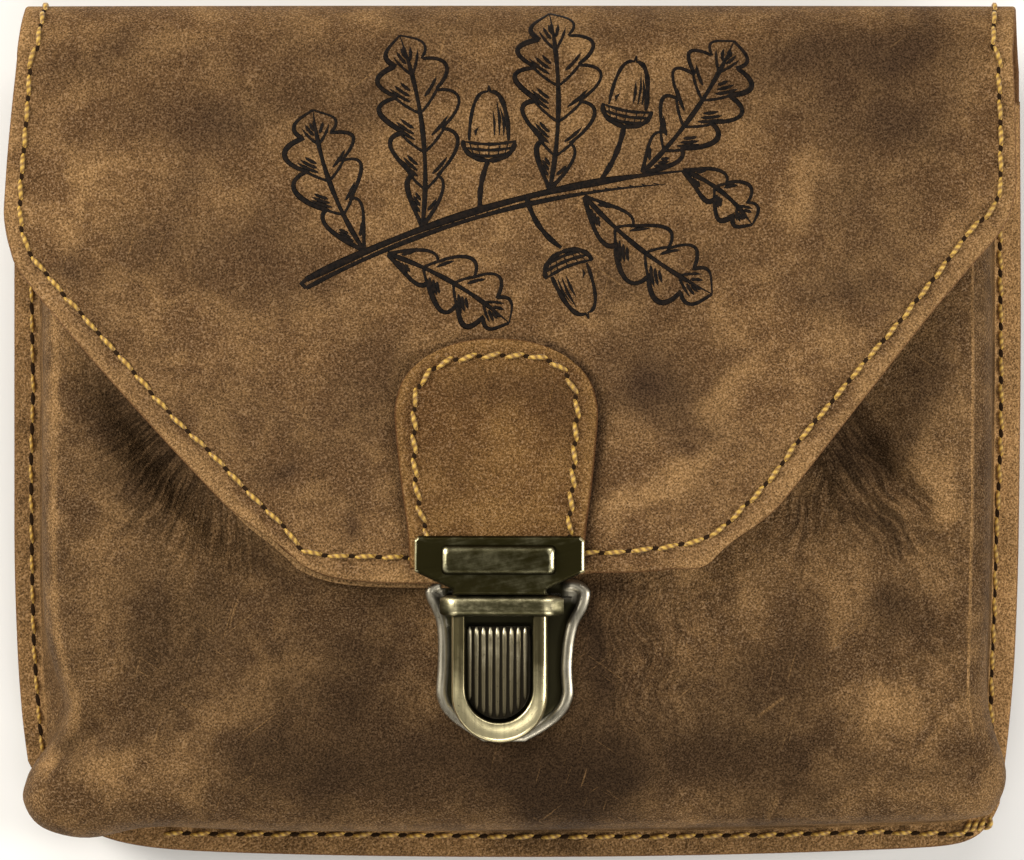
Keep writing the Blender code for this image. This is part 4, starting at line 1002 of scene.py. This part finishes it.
# The rolled rim's section: how far in, how high, how bright, brightest on its two slopes as painted
# highlights. It runs out along the top, under the flap.
RIM = (
    (0, 0, 0.2), (0, 0.55, 0.5), (0.1, 0.88, 0.9), (0.3, 1.16, 0.7), (0.58, 1.3, 0.45), (0.86, 1.22, 0.85),
    (1.1, 0.98, 0.6), (1.26, 0.66, 0.15), (1.42, 0.46, 0), (1.9, BASE_FLOOR, 0),
)
SEAT = Matrix.Translation((LOCK_X, LOCK_Y, float(seat_height(LOCK_X)))) @ Matrix.Rotation(-LOCK_LEAN, 4, "Y")


def loft(name, rings, finish, sharp):
    """Closed skin through rings of equal count, first and last filled, set on the lock's seat. Each point
    is given by its place and how bright it is, by wear and by painted highlight."""
    count = len(rings[0])
    points = np.array(rings, float).reshape(-1, 4)
    whole = len(points)
    faces = []
    for i in range(0, whole - count, count):
        for k in range(count):
            after = i + (k + 1) % count
            faces.append((i + k, after, after + count, i + k + count))
    faces += [tuple(range(count)), tuple(range(whole - count, whole))]
    mesh = bpy.data.meshes.new(name)
    mesh.from_pydata(points[:, :3].tolist(), [], faces)
    mesh.transform(SEAT)
    made = bmesh.new()
    made.from_mesh(mesh)
    bmesh.ops.recalc_face_normals(made, faces=made.faces)
    made.to_mesh(mesh)
    made.free()
    mesh.shade_smooth()
    mesh.set_sharp_from_angle(angle=math.radians(sharp))
    mesh.materials.append(finish)
    piece = shown(name, mesh)
    spread_over(piece, "worn", points[:, 3])
    return piece


def old_brass(name, dark, bright, turn, brush, gloss, streak=0.5):
    """Brushed brass, chemically darkened and then rubbed bright on what stands up, with painted highlights
    and shade where its points are painted so.
    """
    finish, place = new_finish(name)
    lines = cloud(stretched(place, turn, brush), 1, 3, 0.7)
    blotch, pits = cloud(place, 260, 5, 0.65), cloud(place, 1900, 2, 0.5)
    worn = painted("worn") + blotch.scaled(0.5, -0.25) + lines.scaled(streak, -0.5 * streak)
    colour = tint(worn.step(0.1, 0.95), dark, bright)
    colour = tint(pits.step(0.62, 0.75, 0, 0.5), colour, (0.03, 0.022, 0.012))
    rough = lines.scaled(0.16, gloss - 0.08) + worn.step(0.1, 0.9, 0.1, 0)
    wires = {"Base Color": colour, "Metallic": 1, "Roughness": rough}
    end_finish(wires, pits.scaled(0.4, lines), 0.35, 0.00003)
    return finish


def offset_outline(points, inset):
    """A closed outline moved inwards by a distance."""
    points = np.array(points)
    way = np.roll(points, -1, axis=0) - np.roll(points, 1, axis=0)
    way /= np.linalg.norm(way, axis=1, keepdims=True)
    return points + inset * np.stack((-way[:, 1], way[:, 0]), axis=1)


round_ear = 0.09 * (1 - np.cos(np.linspace(0, math.pi / 2, 14)))
down_base = BASE_LENGTH * np.concatenate((round_ear, np.linspace(0.11, 1, 60)))
ear_cut = EAR_ROUND * (1 - np.sqrt(1 - np.clip(1 - down_base / EAR_ROUND, 0, 1) ** 2))
left_half, right_half = (smooth(BASE_EDGES, down_base * 1000, column) / 1000 - ear_cut for column in (1, 2))
right_side = np.stack((right_half, BASE_TOP - down_base), axis=1)
left_side = np.stack((-left_half, BASE_TOP - down_base), axis=1)
top_x = np.linspace(right_half[0], -left_half[0], 50)[1:-1]
outline = np.concatenate((right_side[::-1], np.stack((top_x, BASE_TOP + 0 * top_x), axis=1), left_side))
beside, base_y = abs(outline[:, 0]), outline[:, 1]
has_rim = np.clip(np.maximum((beside - 0.0098) / 0.0015, (BASE_TOP - 0.002 - base_y) / 0.002), 0, 1)
in_ears = np.clip((base_y - 0.0085) / 0.002, 0, 1) * np.clip((beside - 0.0095) / 0.002, 0, 1)
rings = []
for inset, level, bright in RIM:
    moved = offset_outline(outline, RIM_BREADTH * inset / 1000)
    height = np.where(level > BASE_FLOOR, BASE_FLOOR + (level - BASE_FLOOR) * has_rim, level)
    # The rim's slopes and the ears are painted bright as highlights.
    worn = np.maximum(bright * has_rim, 0.6 * in_ears * (level > 0.4))
    rings.append(np.column_stack((moved, BASE_LOW + height / 1000, worn)))
BASE_DARK, BASE_BRIGHT = (0.034, 0.03, 0.015), (0.52, 0.475, 0.37)
base_finish = old_brass("darkened base brass", BASE_DARK, BASE_BRIGHT, 90, (60, 1400, 400), 0.4)
lock_base = loft("lock_base_plate", rings, base_finish, 60)
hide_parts("lock_base")
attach(lock_base, "bag")

# Lock frame. A cast brass U, brushed across, with a cross bar bent over its top. The tongue goes under the
# bar, and the U's face slopes outwards; its round end is painted bright, partly wear and partly a painted
# highlight.
FRAME_X, FRAME_LOW, SLIDE_ROOF = -0.0005, 0.0019, 0.0036
FRAME_WIDTH, FRAME_BOTTOM, FRAME_TOP = 0.0166, -0.0137, 0.0084
WINDOW_WIDTH, WINDOW_BOTTOM = 0.0118, -0.0102
CROSSBAR_WIDTH, CROSSBAR_BREADTH, CROSSBAR_TOP = 0.0214, 0.0037, 0.0117
CROSSBAR_FOOT, CROSSBAR_HEIGHT = 0.0022, 0.0046
# The U's section: share from its inner to its outer edge, level in millimetres, how bright, with a painted
# highlight on its outer slope.
U_SECTION = (
    (0, None, 0), (0, 2.8, 0.1), (0.05, 3.02, 0.45), (0.14, 3.08, 0.5), (0.45, 2.94, 0.6), (0.78, 2.7, 0.8),
    (0.86, 2.56, 1.1), (0.93, 2.25, 1.1), (0.98, 1.8, 0.6), (1, 1.2, 0.3), (1, 0, 0.1), (0.8, 0, 0),
    (0.8, None, 0),
)


def round_end(width, top, bottom, steps):
    """Line down the right side, round the lower end and up the left side."""
    radius = width / 2
    arc = np.linspace(0, -math.pi, steps)
    down = [(radius, y) for y in np.linspace(top, bottom + radius, 12)[:-1]]
    turn = [(radius * math.cos(a), bottom + radius + radius * math.sin(a)) for a in arc]
    return down + turn + [(-x, y) for x, y in reversed(down)]


inner_line = round_end(WINDOW_WIDTH, FRAME_TOP + 0.001, WINDOW_BOTTOM, 40)
outer_line = round_end(FRAME_WIDTH, FRAME_TOP + 0.001, FRAME_BOTTOM, 40)
rings = []
for (x0, y0), (x1, y1) in zip(inner_line, outer_line):
    # Brighter towards the round end, as a painted highlight.
    low_end_highlight = min(1.0, max(0.0, (0.002 - y1) / 0.012))
    rings.append([])
    for share, level, bright in U_SECTION:
        z = SLIDE_ROOF if level is None else FRAME_LOW + level / 1000
        worn = bright * (0.8 + 0.35 * low_end_highlight if share > 0.8 else 0.12 + 1.08 * low_end_highlight)
        rings[-1].append((FRAME_X + x0 + (x1 - x0) * share, y0 + (y1 - y0) * share, z, worn))
U_DARK, U_BRIGHT = (0.075, 0.062, 0.03), (0.88, 0.77, 0.45)
frame_finish = old_brass("brushed frame brass", U_DARK, U_BRIGHT, 90, (60, 1500, 400), 0.3)
lock_u = loft("lock_u", rings, frame_finish, 60)

# The cross bar: domed, with its ends bent down, painted highlights where the ends start to bend and along its
# upper side, and painted shade on its lower side.
bar_low, bar_rise = FRAME_LOW + CROSSBAR_FOOT, CROSSBAR_HEIGHT - CROSSBAR_FOOT
rings = []
for x in CROSSBAR_WIDTH / 2 * np.sin(np.linspace(-math.pi / 2, math.pi / 2, 48)):
    out = abs(x) / (CROSSBAR_WIDTH / 2)
    size = 1 - 0.82 * (max(0.0, out - 0.68) / 0.32) ** 2.6
    narrow = 1 - 0.3 * max(0.0, (out - 0.85) / 0.15) ** 2
    rings.append([])
    for angle in np.linspace(0, math.pi, 24):
        beside = math.copysign(abs(math.cos(angle)) ** 0.7, math.cos(angle)) * CROSSBAR_BREADTH / 2
        up = math.sin(angle) ** 0.66
        y = CROSSBAR_TOP - CROSSBAR_BREADTH / 2 + beside * narrow
        crossbar_end_highlight = 0.75 * math.exp(-(((out - 0.77) / 0.055) ** 2)) * up
        upper_side_highlight = 0.3 * math.exp(-(((angle - 0.75) / 0.45) ** 2))
        # Painted highlights on the top, the upper side and where the ends bend; painted shade on the lower
        # side.
        worn = 0.1 + 0.14 * up + crossbar_end_highlight + upper_side_highlight - 0.35 * max(0.0, (angle - 2) / 1.1)
        rings[-1].append((x, y, bar_low + bar_rise * up * size, worn))
    for side in (-1, 1):
        y = CROSSBAR_TOP + CROSSBAR_BREADTH * (side * 0.35 * narrow - 0.5)
        rings[-1].append((x, y, bar_low - 0.0002, 0))
BAR_DARK, BAR_BRIGHT = (0.055, 0.049, 0.023), (0.74, 0.66, 0.4)
bar_finish = old_brass("brushed bar brass", BAR_DARK, BAR_BRIGHT, 0, (700, 1500, 700), 0.34)
crossbar = loft("lock_crossbar", rings, bar_finish, 50)
for piece in (lock_u, crossbar):
    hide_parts("lock_frame")
    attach(piece, "bag")

# Thumb slide. A sprung brass catch in the U with upright ribs for the thumb, darker than the rest. It
# is pushed towards the bag's bottom to let the tongue go.
SLIDE_X, RIBS_LEFT, SLIDE_RIBS = FRAME_X - 0.0002, 0.0002, 9
SLIDE_LENGTH, SLIDE_SIDE_GAP = 0.0161, 0.0005
slide_half = WINDOW_WIDTH / 2 - SLIDE_SIDE_GAP + 0.00015
slide_end = WINDOW_BOTTOM + SLIDE_SIDE_GAP
slide_line = round_end(2 * slide_half, slide_end + SLIDE_LENGTH, slide_end, 30)
rings = []
for inset, level, bright in ((0, 0, 0), (0, 0.75, 0.2), (0.12, 0.95, 0.3), (0.3, 1, 0)):
    moved = offset_outline(slide_line, -inset / 1000)
    rings.append([(SLIDE_X + x, y, FRAME_LOW + level / 1000, bright) for x, y in moved])
SLIDE_DARK, SLIDE_BRIGHT = (0.022, 0.018, 0.012), (0.3, 0.26, 0.18)
slide_finish = old_brass("dark slide brass", SLIDE_DARK, SLIDE_BRIGHT, 90, (60, 1800, 400), 0.38)
slide_plate = loft("thumb_slide_plate", rings, slide_finish, 40)
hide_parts("thumb_slide")

rib_tree, given = new_tree("thumb ribs", (
    ("Count", "Int", SLIDE_RIBS), ("Half width", "Float", slide_half), ("Spacing", "Float", 0.00121),
    ("Top", "Float", 0), ("Round end", "Float", 0), ("Rib", "Float", 0.00043),
))
spacing, top = given["Spacing"], given["Top"]
first = spacing * given["Count"].scaled(-0.5, 0.5)
row = add("MeshLine", {"Count": given["Count"], "Start Location": xyz(first), "Offset": xyz(spacing)})
rib_x, reach = add("ShaderNodeSeparateXYZ", {0: add("InputPosition")}), given["Half width"] - 0.0002
low_y = given["Round end"] - calc("SQRT", reach * reach - rib_x * rib_x)
row = add("SetPosition", {0: row, "Offset": xyz(0, (top + low_y) * 0.5)})
ball = add("MeshUVSphere", {"Segments": 10, "Rings": 8, "Radius": 1})
ball_x = add("ShaderNodeSeparateXYZ", {0: add("InputPosition")})
ball_y = ball_x.other(1)
squared = calc("SIGN", ball_y) * calc("POWER", calc("ABSOLUTE", ball_y), 0.22)
rib = add("SetPosition", {0: ball, "Position": xyz(ball_x, squared, ball_x.other(2))})
rib_size = xyz(given["Rib"], (top - low_y) * 0.5, given["Rib"])
end_tree(add("InstanceOnPoints", {0: row, "Instance": rib, "Scale": rib_size}), given["Finish"])
RIB_DARK, RIB_BRIGHT = (0.125, 0.105, 0.062), (0.92, 0.84, 0.6)
rib_finish = old_brass("rubbed rib brass", RIB_DARK, RIB_BRIGHT, 90, (200, 900, 400), 0.46, 0.3)
rib_values = {"Top": slide_end + SLIDE_LENGTH - 0.0001, "Round end": slide_end + slide_half}
rib_guide = bpy.data.meshes.new("rib_guide")
slide_ribs = grow("thumb_slide_ribs", rib_guide, rib_tree, Finish=rib_finish, **rib_values)
rib_y = np.array([v.co.y for v in slide_ribs.data.vertices])
down_rib = (rib_y.max() - rib_y) / (rib_y.max() - rib_y.min())
spread_over(slide_ribs, "worn", 0.34 - 0.34 * down_rib + 1.2 * fade((down_rib - 0.02) / 0.06))
slide_ribs.data.transform(SEAT @ Matrix.Translation((SLIDE_X - RIBS_LEFT, 0, FRAME_LOW + 0.001)))
for piece in (slide_plate, slide_ribs):
    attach(piece, "slide")

# Lock tongue. A brass plate clamped on the tab's end, with a long raised bar pressed in it. Its tongue
# bends down and goes under the cross bar into the lock.
PLATE_X, PLATE_THICKNESS, PLATE_SHINE = -0.0002, 0.001, 0.00075
TONGUE_WIDTH, TONGUE_THICKNESS, TONGUE_EDGE = 0.0162, 0.0008, 0.0006
PLATE_WIDTH, PLATE_TOP, PLATE_STRAIGHT, PLATE_TAPER = 0.0294, 0.0219, 0.0061, 0.0028
PLATE_LOW = FLAP_STACK + TAB_STACK + 0.0003
BAR_WIDTH, BAR_BREADTH, BAR_DROP, BAR_CORNER = 0.0197, 0.005, 0.0016, 0.0009
# The plate's face is a little crowned from top to bottom, so that it catches the light along its edges.
PLATE_MIDDLE, PLATE_CROWN = PLATE_TOP - 0.004, 0.00016
# The raised bar's section: how far in, how high, how bright, the brightness being a painted highlight on its
# slopes. It bulges a little, with softly round corners.
BAR_SECTION = (
    (-0.15, -0.25, 0), (0, 0.1, 0), (0.1, 0.75, 0.1), (0.28, 1.15, 0.3), (0.5, 1.38, 0.8), (0.8, 1.52, 0.8),
    (1.1, 1.6, 0.25), (1.6, 1.67, 0), (2.2, 1.7, 0),
)
half_plate, half_tongue = PLATE_WIDTH / 2, TONGUE_WIDTH / 2
shoulder = PLATE_TOP - PLATE_STRAIGHT
low_edge = shoulder - PLATE_TAPER
OUTLINE_STEP = 0.0004


def dense(points):
    """Closed outline with points put in along its straight sides."""
    filled = []
    for (x0, y0), (x1, y1) in zip(points, points[1:] + points[:1]):
        count = max(1, round(math.hypot(x1 - x0, y1 - y0) / OUTLINE_STEP))
        filled += [(x0 + (x1 - x0) * i / count, y0 + (y1 - y0) * i / count) for i in range(count)]
    return filled


PLATE_DARK, PLATE_BRIGHT = (0.023, 0.0195, 0.0065), (0.78, 0.72, 0.44)
plate_finish = old_brass("dark plate brass", PLATE_DARK, PLATE_BRIGHT, 12, (60, 1500, 400), 0.36, 0.22)
right_line = [
    (half_tongue, CROSSBAR_TOP + 0.0001), (half_tongue, low_edge - 0.0003), (half_tongue + 0.0005, low_edge),
    (half_plate, shoulder), (half_plate, PLATE_TOP - 0.0007), (half_plate - 0.0008, PLATE_TOP),
]
plate_line = dense(right_line[3:] + [(-x, y) for x, y in right_line[::-1]] + right_line[:3])
# Its section: how far in, how high, how bright, and the share of its reach from the middle that is kept; the
# brightness is a painted highlight along the plate's side edges.
edge_rings = (
    (0, 0, 0.5, 1), (0, 0.45, 0.9, 1), (0.14, 0.72, 0.95, 1), (0.32, 0.92, 0.8, 1), (0.5, 1, 0.25, 1),
)
face_rings = ((0.66, 1, 0, kept) for kept in (1, 0.8, 0.6, 0.4, 0.2, 0.05))
rings = []
for inset, level, bright, kept in (*edge_rings, *face_rings):
    x, y = offset_outline(plate_line, inset / 1000).T * kept
    y = y + PLATE_MIDDLE * (1 - kept)
    z = PLATE_LOW + level / 1000 - PLATE_CROWN * ((y - PLATE_MIDDLE) / 0.004) ** 2
    # The face is painted lighter along its top edge and on its taper, as highlights.
    face_highlight = 0.06 + 0.09 * (y < shoulder) + 0.09 * (y > PLATE_TOP - 0.0014)
    worn = np.where(abs(x) > half_plate - PLATE_SHINE, bright, face_highlight)
    rings.append(np.column_stack((PLATE_X + x, y, z, worn)))
tongue_plate = loft("lock_tongue_plate", rings, plate_finish, 50)
bar_y = PLATE_TOP - BAR_DROP - BAR_BREADTH / 2
rings = []
for inset, level, bright in BAR_SECTION:
    reach_x, reach_y = BAR_WIDTH / 2 - inset / 1000, BAR_BREADTH / 2 - inset / 1000
    corner = min(BAR_CORNER, reach_y)
    rings.append([])
    for angle in np.linspace(0, 2 * math.pi, 120, endpoint=False):
        # A rounded box: a circle of the corner's size, spread out to the box's sides.
        x = math.copysign(min(reach_x, reach_x * abs(math.cos(angle)) * 1.3), math.cos(angle))
        y = math.copysign(min(reach_y, reach_y * abs(math.sin(angle)) * 1.6), math.sin(angle))
        past_x, past_y = max(0.0, abs(x) - reach_x + corner), max(0.0, abs(y) - reach_y + corner)
        past = math.hypot(past_x, past_y) / corner
        if past > 1:
            x -= math.copysign(past_x * (1 - 1 / past), x)
            y -= math.copysign(past_y * (1 - 1 / past), y)
        # Its ends and upper half are painted brighter, as highlights.
        bar_end_highlight = fade((BAR_WIDTH / 2 - 0.0006 - abs(x)) / 0.0008)
        worn = max(0.2 * (level > 1), bright * (bar_end_highlight + (0.3 if y > 0 else 0)))
        rings[-1].append((PLATE_X + x, bar_y + y, PLATE_LOW + PLATE_THICKNESS + level / 1000, worn))
raised_bar = loft("lock_raised_bar", rings, plate_finish, 50)
slot_floor = FRAME_LOW + 0.0003
path = [
    (CROSSBAR_TOP + 0.0018, PLATE_LOW - 0.0004), (CROSSBAR_TOP + 0.001, PLATE_LOW - 0.0005),
    (CROSSBAR_TOP + 0.0006, PLATE_LOW - 0.0009), (CROSSBAR_TOP + 0.0003, slot_floor + 0.0012),
    (CROSSBAR_TOP - 0.0002, slot_floor), (CROSSBAR_TOP - 0.0026, slot_floor),
]
rings = []
for x in np.linspace(-half_tongue, half_tongue, 24):
    edge = max(0.0, abs(x) - half_tongue + TONGUE_EDGE) / TONGUE_EDGE
    rise = TONGUE_THICKNESS - 0.00035 * edge**2
    top = [(PLATE_X + x, y, z + rise, 0.12 + 0.3 * edge) for y, z in path]
    rings.append([(PLATE_X + x, y, z, 0) for y, z in path] + top[::-1])
tongue = loft("lock_tongue_blade", rings, plate_finish, 50)
for piece in (tongue_plate, raised_bar, tongue):
    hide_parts("lock_tongue")
    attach(piece, "bag")

# Table and studio: a pale matt table top, four soft boxes round the bag and one weak one overhead, and
# a camera straight above, as for a catalogue picture.
table_mesh = bpy.data.meshes.new("table_top")
table_mesh.from_pydata([(-3, -3, 0), (3, -3, 0), (3, 3, 0), (-3, 3, 0)], [], [(0, 1, 2, 3)])
table_finish, place = new_finish("pale table")
pale = tint(cloud(place, 6, 3), (0.86, 0.855, 0.84), (0.9, 0.895, 0.88))
end_finish({"Base Color": pale, "Roughness": 0.9})
table_mesh.materials.append(table_finish)
table = shown("table_top", table_mesh)

world = bpy.data.worlds.new("studio air")
bpy.context.scene.world = world
world.use_nodes = True
air = world.node_tree.nodes["Background"].inputs
air["Color"].default_value, air["Strength"].default_value = (0.86, 0.83, 0.78, 1), 0.22


def soft_box(name, place, size, power, colour):
    """Square light at a place, turned towards the bag."""
    light = bpy.data.lights.new(name, "AREA")
    light.shape, light.energy, light.color = "RECTANGLE", power, colour
    light.size, light.size_y = size
    lamp = shown(name, light)
    lamp.location = place
    lamp.rotation_euler = (Vector((0, 0, 0.02)) - Vector(place)).to_track_quat("-Z", "Y").to_euler()


soft_box("left_box", (-0.7, 0.35, 0.5), (0.35, 0.6), 8.5, (1, 0.96, 0.89))
soft_box("right_box", (0.78, -0.05, 0.42), (0.2, 0.7), 5, (1, 0.97, 0.93))
soft_box("low_box", (0.05, -0.85, 0.42), (0.8, 0.2), 3.6, (1, 0.97, 0.92))
soft_box("high_box", (0.1, 0.8, 0.75), (0.9, 0.3), 4.2, (1, 0.97, 0.93))
soft_box("top_strip", (-0.03, -0.32, 1.05), (0.5, 0.1), 1.2, (1, 0.98, 0.94))
bpy.context.scene.view_settings.view_transform = "Standard"

lens = bpy.data.cameras.new("catalogue camera")
lens.sensor_width, lens.lens = 36, 248.7
lens.clip_start, lens.clip_end = 0.05, 20
camera = shown("catalogue_camera", lens)
camera.location = (-0.0005, 0.00055, 1.26)
bpy.context.scene.camera = camera
